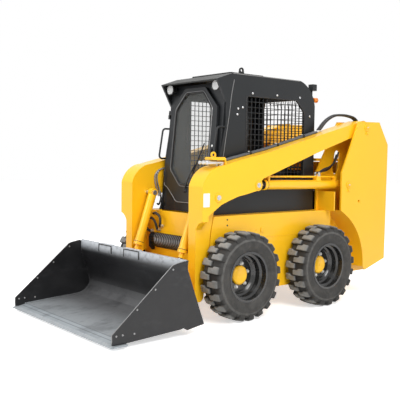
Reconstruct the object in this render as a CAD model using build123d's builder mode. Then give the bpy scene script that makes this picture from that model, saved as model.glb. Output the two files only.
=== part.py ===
from build123d import *
import os
from math import asin, atan2, cos, degrees, hypot, radians, sin, tan

os.makedirs("parts", exist_ok=True)

# Skid steer loader, in mm. X points to the machine's left, Y rearward, Z up. The origin is on the
# ground, under the middle of the machine's length. Outlines are written as (y, z) pairs, with y counted
# rearward from the front axle and z from the ground.

# ---------------------------------------------------------------- driving dimensions
reach_front = 1440.0        # front axle to the tip of the cutting edge
reach_rear = 2118.0         # front axle to the rear door's hinge knuckles
wheelbase = 1050.0
tyre_d = 780.0
tyre_w = 235.0
wheel_x = 662.5             # middle of a tyre, from the machine's middle plane
clearance = 0.3             # gap between faces of pieces that don't slide on each other
pin_play = 0.05             # radial play of a pin in its bore

axle_y = (reach_front - reach_rear) / 2   # place of the front axle in the model
axle_z = tyre_d / 2
SIDES = (("left", 1), ("right", -1))
ENDS = (("front", 0.0), ("rear", wheelbase))


def side(x):
    """Plane across the machine at x: its x axis runs rearward from the front axle, its y axis up."""
    return Plane(origin=(x, axle_y, 0), x_dir=(0, 1, 0), z_dir=(1, 0, 0))


def level(z):
    """Level plane at height z, with its origin over the front axle."""
    return Plane(origin=(0, axle_y, z), x_dir=(1, 0, 0), z_dir=(0, 0, 1))


def save(piece, name):
    """Label a finished piece and write it."""
    piece.part.label = name
    export_step(piece.part, f"parts/{name}.step")


def slab(x0, x1, outline, mode=Mode.ADD):
    """Plate between x0 and x1 with a straight-sided outline of (y, z) points."""
    with BuildSketch(side(x0)) as face:
        with BuildLine():
            Polyline(*outline, close=True)
        make_face()
    extrude(face.sketch, amount=x1 - x0, mode=mode)


def rod(x0, x1, centre, radius, mode=Mode.ADD):
    """Round bar or bore along X from x0 to x1."""
    with BuildSketch(side(x0)) as end:
        with Locations(centre):
            Circle(radius)
    extrude(end.sketch, amount=x1 - x0, mode=mode)


def box(x0, x1, y0, y1, z0, z1, mode=Mode.ADD):
    """Block between two corners, y from the front axle."""
    with BuildSketch(level(z0)) as foot:
        with Locations(((x0 + x1) / 2, (y0 + y1) / 2)):
            Rectangle(abs(x1 - x0), abs(y1 - y0))
    extrude(foot.sketch, amount=z1 - z0, mode=mode)


def post(x, z, y0, y1, radius, mode=Mode.ADD):
    """Round bar or bore along Y, level, from y0 to y1 behind the front axle."""
    with BuildSketch(Plane(origin=(x, axle_y + y0, z), x_dir=(1, 0, 0), z_dir=(0, 1, 0))) as end:
        Circle(radius)
    extrude(end.sketch, amount=y1 - y0, mode=mode)


def pipe(points, radius, bend=0):
    """Pipe or hose along (x, y, z) points; each corner takes the bend radius, or the largest that fits."""
    spots = [Vector(x, axle_y + y, z) for x, y, z in points]
    runs = [b - a for a, b in zip(spots, spots[1:])]
    bends = []
    for before, after in zip(runs, runs[1:]):
        half_turn = radians(before.get_angle(after) / 2)
        largest = 0.45 * min(before.length, after.length) / tan(half_turn)
        bends.append(min(bend or largest, largest))
    with BuildLine() as route:
        FilletPolyline(*spots, radius=bends)
    with BuildSketch(Plane(origin=spots[0], z_dir=runs[0])) as section:
        Circle(radius)
    sweep(section.sketch, path=route.line)


# ---------------------------------------------------------------- wheels
bead_r = 209.0              # rim seat
flange_r = 222.0
rim_half = 103.5            # rim's half width, over the flanges
flange_t = 7.5
well_r = 189.0
rim_t = 7.0
disc_x = -36.0              # outer face of the wheel disc, from the tyre's middle
disc_t = 10.0
pilot_r = 60.0              # the disc's centre hole
hub_cap_r = 85.0
hub_cap_t = 25.0
hub_flange_r = 130.0
hub_flange_t = 20.0
axle_r = 45.0
lug_h = 26.0
lugs_per_side = 20
lug_w = 60.0                # a lug's block at the shoulder, round the tyre
lug_core_w = 40.0           # the narrower block it steps down to at the crown
lug_step = 5.0              # the shoulder block's offset from the narrow one, round the tyre
lug_reach = 115.0           # outer end of a lug, from the tyre's middle

carcass_r = tyre_d / 2 - lug_h
seat_half = rim_half - flange_t

with BuildPart() as lug:
    half, core = lug_w / 2, lug_core_w / 2
    top_z = ((tyre_d / 2) ** 2 - (half + lug_step) ** 2) ** 0.5
    with BuildSketch(Plane.XY.offset(top_z)):
        with BuildLine():
            Polyline(
                (lug_reach, lug_step - half), (lug_reach, lug_step + half),
                (lug_reach * 0.45, lug_step + half),
                (lug_reach * 0.35, core - 2), (-lug_reach * 0.07, core - 2), (-lug_reach * 0.07, -core - 2),
                (lug_reach * 0.35, -core - 2), (lug_reach * 0.45, lug_step - half),
                close=True,
            )
        make_face()
    extrude(amount=-2.3 * lug_h)
far_lug = mirror(lug.part, Plane.YZ)

facets = 2 * lugs_per_side  # flats round the carcass, one under each lug
crown_half = 0.4 * tyre_w
sidewall_r = (flange_r + carcass_r) / 2


def ring(x, radius):
    """Many-sided outline round the wheel's axis at x, with flats that touch the given radius."""
    with BuildSketch(Plane(origin=(x, 0, 0), x_dir=(0, 1, 0), z_dir=(1, 0, 0))) as face:
        RegularPolygon(radius, facets, major_radius=False, rotation=180 / facets)
    return face.sketch


with BuildPart() as tyre:
    crown = [
        (-tyre_w / 2, sidewall_r), (-rim_half - 4, carcass_r - 22), (-crown_half, carcass_r - 6),
        (0, carcass_r), (crown_half, carcass_r - 6), (rim_half + 4, carcass_r - 22),
        (tyre_w / 2, sidewall_r),
    ]
    loft([ring(x, radius) for x, radius in crown], ruled=True)
    for name, s in SIDES:
        bead = [ring(s * seat_half, flange_r + 4), ring(s * tyre_w / 2, sidewall_r - 12)]
        loft(bead, ruled=True, mode=Mode.SUBTRACT)
    extrude(ring(-tyre_w, bead_r + clearance), amount=2 * tyre_w, mode=Mode.SUBTRACT)
    pitch = 360 / lugs_per_side
    turn = degrees(asin((lug_w / 2 + lug_step) / (tyre_d / 2)))     # a lug's corner stands on the ground
    near_row = [lug.part.rotate(Axis.X, turn + i * pitch) for i in range(lugs_per_side)]
    far_row = [far_lug.rotate(Axis.X, turn + (i + 0.5) * pitch) for i in range(lugs_per_side)]
    add(near_row + far_row)

with BuildPart() as rim:
    with BuildSketch(Plane.XZ):
        with BuildLine():
            Polyline(
                (rim_half, flange_r), (seat_half, flange_r), (seat_half, bead_r), (42, bead_r - 1),
                (32, well_r), (-66, well_r), (-76, bead_r - 1), (-seat_half, bead_r),
                (-seat_half, flange_r), (-rim_half, flange_r), (-rim_half, bead_r - rim_t),
                (-86, bead_r - rim_t), (-74, well_r - rim_t), (disc_x - disc_t, well_r - rim_t),
                (disc_x - disc_t, pilot_r), (disc_x, pilot_r), (disc_x, 150), (-20, 165),
                (-10, well_r - rim_t), (40, well_r - rim_t), (52, bead_r - rim_t),
                (rim_half, bead_r - rim_t),
                close=True,
            )
        make_face()
    revolve(axis=Axis.X)

chaincase_x = 530.0         # outer face of the frame's side between the wheels
housing_gap = 3.0           # from the hub's flange to the fixed axle tube
with BuildPart() as hub:
    with BuildSketch(Plane.XZ):
        with BuildLine():
            back = disc_x - disc_t
            Polyline(
                (disc_x + hub_cap_t, 0), (disc_x + hub_cap_t, hub_cap_r - 8),
                (disc_x + hub_cap_t - 8, hub_cap_r), (disc_x, hub_cap_r), (disc_x, pilot_r - clearance),
                (back, pilot_r - clearance), (back, hub_flange_r), (back - hub_flange_t, hub_flange_r),
                (back - hub_flange_t, axle_r), (chaincase_x - wheel_x + clearance, axle_r),
                (chaincase_x - wheel_x + clearance, 0),
                close=True,
            )
        make_face()
    revolve(axis=Axis.X)

for end, y in ENDS:
    for name, s in SIDES:
        spot = Location((s * wheel_x, axle_y + y, axle_z))
        for piece, label in ((tyre, "tyre"), (rim, "rim"), (hub, "hub")):
            shape = piece.part if s > 0 else mirror(piece.part, Plane.YZ)
            with BuildPart() as placed:
                add(shape.moved(spot))
            save(placed, f"{label}_{end}_{name}")

# ---------------------------------------------------------------- lower frame
deck_z = 905.0              # top of the lower frame, where the cab stands
belly_z = 210.0
cab_x = 413.0               # cab's outer side
tub_x = 393.0               # inner face of the frame's side boxes
frame_front = -190.0
cab_back = 1200.0
bay_front = 1240.0          # front of the engine bay and of the towers
case_back = 1340.0
plate_t = 20.0
axle_tube_t = 25.0          # wall of the tube round each axle
rear_member_z = 400.0
tie_down_r = 17.0
tie_down_x = 250.0
tie_down_z = 320.0
tower_in = 405.0            # inner face of the tower's inner plate
tower_out = 660.0           # outer face of its outer plate
tower_back = 2092.0
frame_back = 2060.0
wing_t = 24.0               # thickness of the side plates' edges behind the arms' legs

with BuildPart() as chassis_frame:
    wing = [
        (frame_front + 10, deck_z), (frame_front - 23, deck_z), (frame_front - 46, 800),
        (frame_front - 82, 500), (frame_front + 10, 500),
    ]
    for name, s in SIDES:
        box(s * tub_x, s * chaincase_x, frame_front, bay_front, belly_z, deck_z)
        slab(s * (chaincase_x - wing_t), s * chaincase_x, wing)
        box(s * (tower_in + plate_t), s * chaincase_x, bay_front, case_back, belly_z, deck_z)
    box(-tub_x, tub_x, frame_front, frame_back, belly_z, belly_z + plate_t)
    box(-tub_x, tub_x, frame_front, frame_front + plate_t, belly_z + plate_t, deck_z)
    box(-tub_x, tub_x, cab_back - plate_t, cab_back, belly_z + plate_t, deck_z)
    box(-tub_x, tub_x, frame_back - plate_t, frame_back, belly_z + plate_t, rear_member_z)
    for name, s in SIDES:
        post(s * tie_down_x, tie_down_z, frame_back - 1.5 * plate_t, frame_back + plate_t, tie_down_r,
             mode=Mode.SUBTRACT)
        for end, y in ENDS:
            outer_end = s * (wheel_x + disc_x - disc_t - hub_flange_t - housing_gap)
            rod(s * (chaincase_x - 5), outer_end, (y, axle_z), axle_r + axle_tube_t)
            bore_r = axle_r + pin_play
            rod(s * chaincase_x, s * (chaincase_x + 200), (y, axle_z), bore_r, mode=Mode.SUBTRACT)
save(chassis_frame, "chassis_frame")

# Ribbed foot bar across the front, under the yellow front plate.
step_z = 618.0
step_h = 132.0
step_d = 56.0               # how far the bar stands out in front of the frame
rib_h = 7.0
rib_t = 11.0
rib_pitch = 27.0
rib_lean = 18.0             # ribs lean over by this many degrees
step_half = 375.0


def step_outline(grow):
    """Bar's rounded section as (y, height from its middle), grown by a rib's height."""
    front, half = frame_front - step_d - grow, step_h / 2 + grow
    back = frame_front - clearance
    return [
        (back, -half), (front + 30, -half + 4), (front + 6, -half * 0.55), (front, 0),
        (front + 6, half * 0.55), (front + 30, half - 4), (back, half),
    ]


with BuildPart() as front_step:
    slab(-step_half, step_half, [(y, step_z + z) for y, z in step_outline(0)])
    ribs = int((2 * step_half - 120) / rib_pitch)
    for i in range(ribs + 1):
        lean = radians(rib_lean)
        middle = (-ribs * rib_pitch / 2 + i * rib_pitch, axle_y, step_z)
        with BuildSketch(Plane(origin=middle, x_dir=(0, 1, 0), z_dir=(cos(lean), 0, sin(lean)))) as rib:
            with BuildLine():
                Polyline(*step_outline(rib_h), close=True)
            make_face()
        extrude(rib.sketch, amount=rib_t)
    for name, s in SIDES:
        bracket = [
            (frame_front - clearance, step_z - 100), (frame_front - clearance, step_z + 70),
            (frame_front - step_d + 10, step_z + 70), (frame_front - step_d - 12, step_z + 40),
            (frame_front - step_d - 12, step_z - 60), (frame_front - 30, step_z - 100),
        ]
        slab(s * (step_half - 8), s * step_half, bracket)
save(front_step, "front_step")

# ---------------------------------------------------------------- towers
arm_pivot = (1724.0, 1743.0)
lift_base = (1452.0, 1161.0)    # lift cylinder's pin in the tower
pivot_pin_r = 25.0
lift_pin_r = 20.0
arch_low = (1718.0, 311.0)
arch_mid = (1604.0, 690.0)
arch_top = (1377.0, 884.0)
wall_t = 12.0
pin_ring_w = 15.0               # width and height of the welded ring round each pin's end
pin_ring_h = 8.0
tower_eye = (1624.0, 991.0)     # hole for a lashing or a lifting shackle
tower_eye_r = 14.0
tower_top = 1804.0
door_t = 40.0
door_gap = 5.0                  # running gap round a door
bay_x = tower_in - door_gap     # half the width of the hood and the rear door
rear_hinge_r = 7.0
rear_hinge = (-bay_x, reach_rear - rear_hinge_r)    # rear door's hinge line, (x, y)
rear_hinge_z = (520.0, 1260.0)
hinge_pin_r = 4.0
knuckle_h = 40.0


def tower_outline(x, hollow=False):
    """Tower's face at x: wheel arch, slanted front edge, top, shoulder and rear edge, or its rim alone."""
    with BuildSketch(side(x)) as face:
        with BuildLine():
            ThreePointArc(arch_low, arch_mid, arch_top)
            Polyline(
                arch_top, (1345, 905), (1345, 1280), (1596, 1797), (1936, tower_top), (tower_back, 1574),
                (2083, 371), (1756, 273), arch_low,
            )
        make_face()
        if hollow:
            offset(amount=-wall_t, mode=Mode.SUBTRACT)
            with Locations((1565, deck_z + 500)):
                Rectangle(560, 1000, mode=Mode.SUBTRACT)
    return face.sketch


def knuckle(x, y, z, radius, height):
    """Upright round hinge knuckle, y from the front axle."""
    with BuildSketch(level(z)) as face:
        with Locations((x, y)):
            Circle(radius)
    extrude(face.sketch, amount=height)


for name, s in SIDES:
    with BuildPart() as tower:
        extrude(tower_outline(s * (tower_out - plate_t)), amount=s * plate_t)
        channel_w = tower_out - tower_in - 2 * plate_t
        extrude(tower_outline(s * (tower_in + plate_t), hollow=True), amount=s * channel_w)
        inner_plate = [
            (bay_front, belly_z + plate_t), (bay_front, 1290), (1550, 1797), (1936, 1804),
            (tower_back - 5, 1574), (2078, 371), (frame_back, belly_z + plate_t),
        ]
        slab(s * tower_in, s * (tower_in + plate_t), inner_plate)
        box(
            s * (tower_in + plate_t), s * (tower_out - plate_t), bay_front + 20, bay_front + 32,
            deck_z, 1095,
        )
        with BuildSketch(side(s * (tower_in - 5))) as hose_slot:
            with Locations((1540, 1385)):
                SlotOverall(250, 90, rotation=80)
        extrude(hose_slot.sketch, amount=s * (plate_t + 10), mode=Mode.SUBTRACT)
        for centre, radius in ((arm_pivot, pivot_pin_r), (lift_base, lift_pin_r)):
            rod(s * tower_out, s * (tower_out + pin_ring_h), centre, radius + pin_ring_w)
            rod(s * (tower_in - 5), s * (tower_out + 20), centre, radius + pin_play, mode=Mode.SUBTRACT)
        rod(s * (tower_out - plate_t - 5), s * (tower_out + 5), tower_eye, tower_eye_r, mode=Mode.SUBTRACT)
        if name == "right":
            hinge_x, hinge_y = rear_hinge
            for z in rear_hinge_z:
                box(-tower_in - plate_t, hinge_x - 3, hinge_y - 35, hinge_y, z, z + knuckle_h)
                knuckle(hinge_x, hinge_y, z, rear_hinge_r, knuckle_h)
                knuckle(hinge_x, hinge_y, z, hinge_pin_r, 2 * knuckle_h)
    save(tower, f"tower_{name}")

with BuildPart() as tower_pins:
    for name, s in SIDES:
        for centre, radius in ((arm_pivot, pivot_pin_r), (lift_base, lift_pin_r)):
            rod(s * (tower_in - 3), s * (tower_out + pin_ring_h + 4), centre, radius)
save(tower_pins, "tower_pins")

# ---------------------------------------------------------------- engine bay
with BuildPart() as engine:
    box(-240, 240, 1330, 1930, 330, 1080)
    box(-160, 160, 1300, 1330, 420, 900)
    box(-200, -120, 1380, 1880, belly_z + plate_t, 330)
    box(120, 200, 1380, 1880, belly_z + plate_t, 330)
save(engine, "engine_block")

hood_z = 1420.0
hood_t = 25.0
hood_hinge_r = 8.0
hood_hinge = (1256.0, hood_z + 12)  # hood's hinge line, (y, z)
hood_hinge_x = (-300.0, 300.0)
hood_leaf_w = 30.0
with BuildPart() as hood:
    hinge_y, hinge_z = hood_hinge
    for x in hood_hinge_x:
        box(x + clearance, x + hood_leaf_w, hinge_y, hinge_y + 45, hood_z, hood_z + 6)
        rod(x + clearance, x + hood_leaf_w, hood_hinge, hood_hinge_r)
        box(x + clearance, x + hood_leaf_w, hinge_y, hinge_y + hood_hinge_r, hood_z, hinge_z)
        rod(x - 1, x + hood_leaf_w + 1, hood_hinge, hinge_pin_r + pin_play, mode=Mode.SUBTRACT)
    box(-bay_x, bay_x, 1250, 2050, hood_z - hood_t, hood_z)
    for i in range(7):
        box(-280, 280, 1420 + 75 * i, 1455 + 75 * i, hood_z - hood_t, hood_z, mode=Mode.SUBTRACT)
save(hood, "hood")

door_low = rear_member_z + 15
door_top = 1385.0
door_back = frame_back + door_gap + door_t
louvre_pitch = 42.0
louvre_half = 270.0
with BuildPart() as rear_door:
    hinge_x, hinge_y = rear_hinge
    box(hinge_x + 6, bay_x, frame_back + door_gap, door_back, door_low, door_top)
    for row in range(9):
        z = 900 + louvre_pitch * row
        slot_top = z + louvre_pitch / 2
        box(-louvre_half, louvre_half, frame_back, door_back + 5, z, slot_top, mode=Mode.SUBTRACT)
    for z in rear_hinge_z:
        z += knuckle_h + clearance
        box(hinge_x, hinge_x + 55, door_back, hinge_y + 3, z, z + knuckle_h)
        knuckle(hinge_x, hinge_y, z, rear_hinge_r, knuckle_h)
        with BuildSketch(level(z - 1)) as bore:
            with Locations(rear_hinge):
                Circle(hinge_pin_r + pin_play)
        extrude(bore.sketch, amount=knuckle_h + 2, mode=Mode.SUBTRACT)
    box(bay_x - 70, bay_x - 40, door_back, door_back + 8, 880, 1010)
save(rear_door, "rear_door")

# ---------------------------------------------------------------- lift arms
arm_in = 432.0
arm_out = 618.0
leg_out = 530.0
arm_front = -415.0
hinge = (-366.0, 225.0)         # coupler pin
hinge_r = 20.0
hinge_boss_r = 49.0
tilt_top = (-240.0, 1075.0)     # tilt cylinder's pin on the arm
tilt_pin_r = 18.0
lift_lug = (231.0, 1174.0)      # lift cylinder's pin on the arm
lug_boss_r = 52.0
pivot_boss_r = 70.0
lift_x = (arm_in + arm_out) / 2 + 2.5
tilt_x = 338.0
eye_w = 50.0
fork_x = (arm_in + leg_out) / 2     # the coupler's hinge ear stands in a fork in the leg's foot
fork_w = 34.0
rod_slot = 60.0
tilt_boss_r = 40.0
collar_gap = 5.0            # from the tilt cylinder's eye to the collar on its pin's inner end
collar_t = 8.0
collar_r = 22.0                 # clear of the barrel, and of the open front door
ring_r = 38.0                   # welded ring round each pin's head on the arm's outer face
ring_h = 8.0
pin_head_r = 22.0
pin_head_in = 6.0               # depth of the head's seat in the arm
guard_x = 505.0                 # cover with an eye over the quick couplers, on the left arm
guard_w = 108.0
guard_eye_x = 550.0
guard_eye_t = 10.0
guard_eye = (-250.0, 1438.0)
guard_eye_r = 14.0
cross_tube_at = (-275.0, 450.0)


knee_z = 873.0                  # underside of the beam at its front


def beam_face(x):
    """Upper beam's face at x, with its knee, underside and both eyes' bosses."""
    py, pz = arm_pivot
    ly, lz = lift_lug
    with BuildSketch(side(x)) as face:
        with BuildLine():
            Line((arm_front, knee_z), (arm_front, 1170))
            ThreePointArc((arm_front, 1170), (-352, 1277), (-197, 1347))
            Polyline(
                (-197, 1347), (-20, 1390), (431, 1487), (py - 118, pz + 42), (py - 17, pz + 68),
                (py + 19, pz - 67), (py - 242, pz - 126), (1006, 1471), (652, 1353),
                (ly + 60, lz + 57), (ly + 40, lz + 33), (ly - 4, lz - 48), (96, 1098), (-13, 1078),
                (-111, 1047), (-207, 1011), (arm_front, knee_z),
            )
        make_face()
        with Locations(arm_pivot):
            Circle(pivot_boss_r)
        with Locations(lift_lug):
            Circle(lug_boss_r)
    return face.sketch


def leg_face(x):
    """Narrow leg's face at x, from the knee down to the coupler pin."""
    hy, hz = hinge
    with BuildSketch(side(x)) as face:
        with BuildLine():
            Polyline(
                (arm_front, hz), (arm_front, 1060), (-190, 1060), (-245, 800),
                (hy + hinge_boss_r, hz), close=True,
            )
        make_face()
        with Locations(hinge):
            Circle(hinge_boss_r)
    return face.sketch


shoulder_h = 95.0               # curved shoulder where the wide knee runs into the narrow leg
shoulder_d = 70.0
# The leg is a piece of its own, set up under the beam and inside the shoulder.
joint_level = [
    (arm_front - 5, knee_z - clearance), (arm_front + 300, knee_z - clearance), (arm_front + 300, knee_z),
    (arm_front - 5, knee_z),
]
joint_side = [
    (arm_front - 5, knee_z - shoulder_h - 5), (arm_front + 300, knee_z - shoulder_h - 5),
    (arm_front + 300, knee_z), (arm_front - 5, knee_z),
]
for name, s in SIDES:
    with BuildPart() as arm:
        extrude(beam_face(s * arm_in), amount=s * (arm_out - arm_in))
        extrude(leg_face(s * arm_in), amount=s * (leg_out - arm_in))
        knee_low = Plane(origin=(0, axle_y + arm_front, knee_z), x_dir=(1, 0, 0), z_dir=(0, -1, 0))
        with BuildSketch(knee_low) as shoulder:
            with BuildLine():
                inner, outer, middle = s * (leg_out - 5), s * arm_out, s * (leg_out + 22)
                ThreePointArc((inner, -shoulder_h), (middle, -0.38 * shoulder_h), (outer, 0))
                Polyline((outer, 0), (outer, 60), (inner, 60), (inner, -shoulder_h))
            make_face()
        extrude(shoulder.sketch, amount=-shoulder_d)
        for centre in (lift_lug, tilt_top):
            rod(s * arm_out, s * (arm_out + ring_h), centre, ring_r)
            seat = s * (arm_out - pin_head_in)
            rod(seat, s * (arm_out + 20), centre, pin_head_r + pin_play, mode=Mode.SUBTRACT)
        slab(s * (arm_in - 5), s * (leg_out + clearance), joint_level, mode=Mode.SUBTRACT)
        slab(s * leg_out, s * (leg_out + clearance), joint_side, mode=Mode.SUBTRACT)
        rod(s * (arm_in - 5), s * (arm_out + 5), arm_pivot, pivot_pin_r + pin_play, mode=Mode.SUBTRACT)
        rod(s * (arm_in - 5), s * (leg_out + 5), hinge, hinge_r + pin_play, mode=Mode.SUBTRACT)
        box(
            s * (lift_x - rod_slot / 2), s * (lift_x + rod_slot / 2), lift_lug[0] - 62, lift_lug[0] + 90,
            lift_lug[1] - 80, lift_lug[1] + 62, mode=Mode.SUBTRACT,
        )
        box(
            s * (fork_x - fork_w / 2), s * (fork_x + fork_w / 2), arm_front - 10,
            hinge[0] + hinge_boss_r + 10, hinge[1] - 60, hinge[1] + 115, mode=Mode.SUBTRACT,
        )
        if name == "left":
            cover = [
                (-300, 1394), (-305, 1412), (-290, 1420), (-172, 1420), (-155, 1408), (-148, 1345),
                (-158, 1345), (-162, 1394),
            ]
            slab(guard_x, guard_x + guard_w, cover)
            eye_x0, eye_x1 = guard_eye_x, guard_eye_x + guard_eye_t
            rod(eye_x0, eye_x1, guard_eye, guard_eye_r + 14)
            rod(eye_x0 - 5, eye_x1 + 5, guard_eye, guard_eye_r, mode=Mode.SUBTRACT)
    save(arm, f"arm_{name}")

pin_end = tilt_x - eye_w / 2 - collar_gap - collar_t
with BuildPart() as arm_pins:
    for name, s in SIDES:
        rod(s * pin_end, s * (arm_in - clearance), tilt_top, tilt_pin_r)
        rod(s * pin_end, s * (pin_end + collar_t), tilt_top, collar_r)
        for centre in (lift_lug, tilt_top):
            rod(s * (arm_out - pin_head_in), s * (arm_out + ring_h + 4), centre, pin_head_r)
save(arm_pins, "arm_pins")

with BuildPart() as cross_tube:
    rod(-arm_in, arm_in, cross_tube_at, 45)
save(cross_tube, "arm_cross_tube")

# Steel lines along the left arm's inner top edge, their clamps and the couplers they end in.
line_r = 9.0
line_z = line_r + clearance     # line's centre above the arm's top face
line_x = (456.0, 484.0)
coupler_r = 17.0
coupler_z = 1372.0
coupler_x = (538.0, 584.0)      # the two quick couplers under the arm's guard
arm_top = [(-20, 1390), (431, 1487), (1180, 1677)]
hose_r = 12.0
hose_arch = [(1180, 1677 + line_z), (1290, 1795), (1420, 1858), (1600, 1866), (1745, 1845), (1815, 1785)]
with BuildPart() as arm_lines:
    for x in line_x:
        run = [(-165, 1357)] + arm_top
        pipe([(x, y, z + line_z) for y, z in run], line_r, bend=90)
save(arm_lines, "arm_lines")

with BuildPart() as arm_hoses:
    for x in line_x:
        pipe([(x, y + 6, z + 3.4) for y, z in hose_arch], hose_r)
save(arm_hoses, "arm_hoses")

with BuildPart() as quick_couplers:
    for x in coupler_x:
        for y0, y1, smaller in ((-385, -330, 5), (-330, -255, 0), (-255, -165, 3)):
            post(x, coupler_z, y0, y1, coupler_r - smaller)
        slab(x - 12, x + 12, [(-195, 1348), (-170, 1354), (-170, coupler_z), (-195, coupler_z)])
save(quick_couplers, "quick_couplers")

# ---------------------------------------------------------------- coupler
tilt_low = (-470.0, 400.0)      # tilt cylinder's pin on the coupler
ear_t = 24.0
coupler_half = 560.0
coupler_top = (-722.0, 560.0)
coupler_foot = (-585.0, 150.0)
coupler_t = 25.0
tilt_ear_in = tilt_x - eye_w / 2 - 5 - ear_t
tilt_ear_out = tilt_x + eye_w / 2 + 5
slope = atan2(coupler_foot[0] - coupler_top[0], coupler_top[1] - coupler_foot[1])


def off(point, distance):
    """Point moved square to the coupler's plate, rearward."""
    return (point[0] + distance * cos(slope), point[1] + distance * sin(slope))


with BuildPart() as coupler:
    plate = [coupler_foot, coupler_top, off(coupler_top, coupler_t), off(coupler_foot, coupler_t)]
    slab(-coupler_half, coupler_half, plate)
    root_top = off(coupler_top, coupler_t - 5)
    root_foot = off(coupler_foot, coupler_t - 5)
    root_mid = ((root_top[0] + root_foot[0]) / 2, (root_top[1] + root_foot[1]) / 2)
    for name, s in SIDES:
        for x, pin, root in (
            (tilt_ear_in, tilt_low, root_top),
            (tilt_ear_out, tilt_low, root_top),
            (fork_x - ear_t / 2, hinge, root_mid),
        ):
            y, z = pin
            with BuildSketch(side(s * x)) as ear:
                with BuildLine():
                    Polyline(root_foot, (y, z - 38), (y + 20, z), (y, z + 38), root, close=True)
                make_face()
                with Locations(pin):
                    Circle(42)
            extrude(ear.sketch, amount=s * ear_t)
        rod(s * (arm_in + 1), s * (leg_out - 1), hinge, hinge_r)
save(coupler, "coupler")

# ---------------------------------------------------------------- bucket
bucket_half = 825.0
edge_low = 24.0                 # cutting edge's underside, from the ground
edge_top = 38.0
sheet_t = 8.0
hook_t = 12.0
mount_half = coupler_half - 20.0
lip_pads = ((-475.0, -265.0), (-56.0, 173.0))
with BuildPart() as bucket:
    with BuildSketch(side(-bucket_half)) as shell:
        with BuildLine():
            Polyline(
                (-1400, edge_top), (-1330, 52), (-800, 82), (-718, 101), (-664, 147), (-645, 210),
                (-721, 432),
            )
            ThreePointArc((-721, 432), (-745, 520), (-741, 604))
            Line((-741, 604), (-721, 604))
            ThreePointArc((-721, 604), (-726, 520), (-698, 432))
            Polyline(
                (-698, 432), (-622, 200), (-640, 134), (-706, 86), (-790, 66), (-1330, edge_top),
                (-1400, edge_top),
            )
        make_face()
    extrude(shell.sketch, amount=2 * bucket_half)
    # The mounting plate lies on the coupler, with a hook over the coupler's top and a foot under it.
    square = (cos(slope), sin(slope))
    up = (-sin(slope), cos(slope))

    def by_coupler(corner, back, rise):
        """Point beside the coupler: back along its plate's normal and rise up its face."""
        return (corner[0] + back * square[0] + rise * up[0], corner[1] + back * square[1] + rise * up[1])

    top, foot, t, gap = coupler_top, coupler_foot, coupler_t, clearance
    mount_plate = [
        by_coupler(foot, -gap, -hook_t), by_coupler(foot, -gap, 0), by_coupler(top, -gap, 0),
        by_coupler(top, -gap, 2), by_coupler(top, t, 2), by_coupler(top, t, hook_t), (-733, 588),
        (-736, 520), (-712, 432), (-636, 200), (-628, 150),
    ]
    slab(-mount_half, mount_half, mount_plate)
    foot_plate = [
        by_coupler(foot, -gap, -hook_t), by_coupler(foot, -gap, -1), by_coupler(foot, t, -1),
        by_coupler(foot, t, -hook_t),
    ]
    slab(-mount_half, mount_half, foot_plate)
    for x0, x1 in lip_pads:
        slab(
            x0, x1,
            [
                (-738, 604), (-743, 560), (-742, 530), (-751, 530), (-752, 562), (-746, 612),
                (-714, 612), (-714, 600),
            ],
        )
    for name, s in SIDES:
        cheek = [
            (-1423, edge_top + 2), (-1424, 118), (-876, 580), (-835, 590), (-753, 604), (-659, 351),
            (-553, 76), (-726, 50), (-765, 72), (-1285, 46), (-1330, edge_top + 2),
        ]
        slab(s * bucket_half, s * (bucket_half - sheet_t), cheek)
save(bucket, "bucket")

with BuildPart() as cutting_edge:
    top = edge_top - clearance
    slab(-850, 850, [(-reach_front, edge_low), (-1300, edge_low), (-1300, top), (-1405, top)])
save(cutting_edge, "cutting_edge")

# ---------------------------------------------------------------- cylinders
lift_barrel_r = 44.0
lift_rod_r = 24.0
tilt_barrel_r = 40.0
tilt_rod_r = 20.0
line_rise = lift_barrel_r + 32.0    # oil pipe's centre above the lift cylinder's
port_at = 300.0                     # port block, from the base pin along the barrel
port_y = lift_base[0] - port_at - 30
port_z = lift_base[1] + line_rise

def cylinder(base, tip, x, barrel_r, rod_r, pin_r, eye, gland, back_travel, line=False):
    """Barrel with its bored base eye and rod with a solid tip eye, from base to tip.

    back_travel is the room the rod has to run further in, and line adds the oil pipe and its ports.
    """
    length = hypot(tip[0] - base[0], tip[1] - base[1])
    along = ((tip[0] - base[0]) / length, (tip[1] - base[1]) / length)
    start = Plane(
        origin=(x, axle_y + base[0], base[1]), x_dir=(1, 0, 0), z_dir=(0, along[0], along[1]),
    )
    with BuildPart() as barrel:
        with BuildSketch(start.offset(eye * 0.6)):
            Circle(barrel_r)
        extrude(amount=gland - eye * 0.6)
        rod(x - eye_w / 2, x + eye_w / 2, base, eye)
        rod(x - 100, x + 100, base, pin_r + pin_play, mode=Mode.SUBTRACT)
        with BuildSketch(start.offset(gland - 40)):
            Circle(barrel_r + 5)
        extrude(amount=40)
        if line:
            block_h = line_rise + line_r
            for out, size in ((gland - 70, 22), (port_at, 60), (60, 22)):
                with BuildSketch(start.offset(out)):
                    with Locations((0, block_h / 2)):
                        Rectangle(50, block_h)
                extrude(amount=size)
            with BuildSketch(start.offset(60)):
                with Locations((0, line_rise)):
                    Circle(line_r)
            extrude(amount=gland - 108)
        with BuildSketch(start.offset(pin_r + 25)):
            Circle(rod_r + pin_play)
        extrude(amount=gland, mode=Mode.SUBTRACT)
    with BuildPart() as piston_rod:
        root = pin_r + 35 + back_travel
        with BuildSketch(start.offset(root)):
            Circle(rod_r)
        extrude(amount=length - root - eye * 0.5)
        rod(x - eye_w / 2, x + eye_w / 2, tip, eye)
    return barrel, piston_rod


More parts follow.
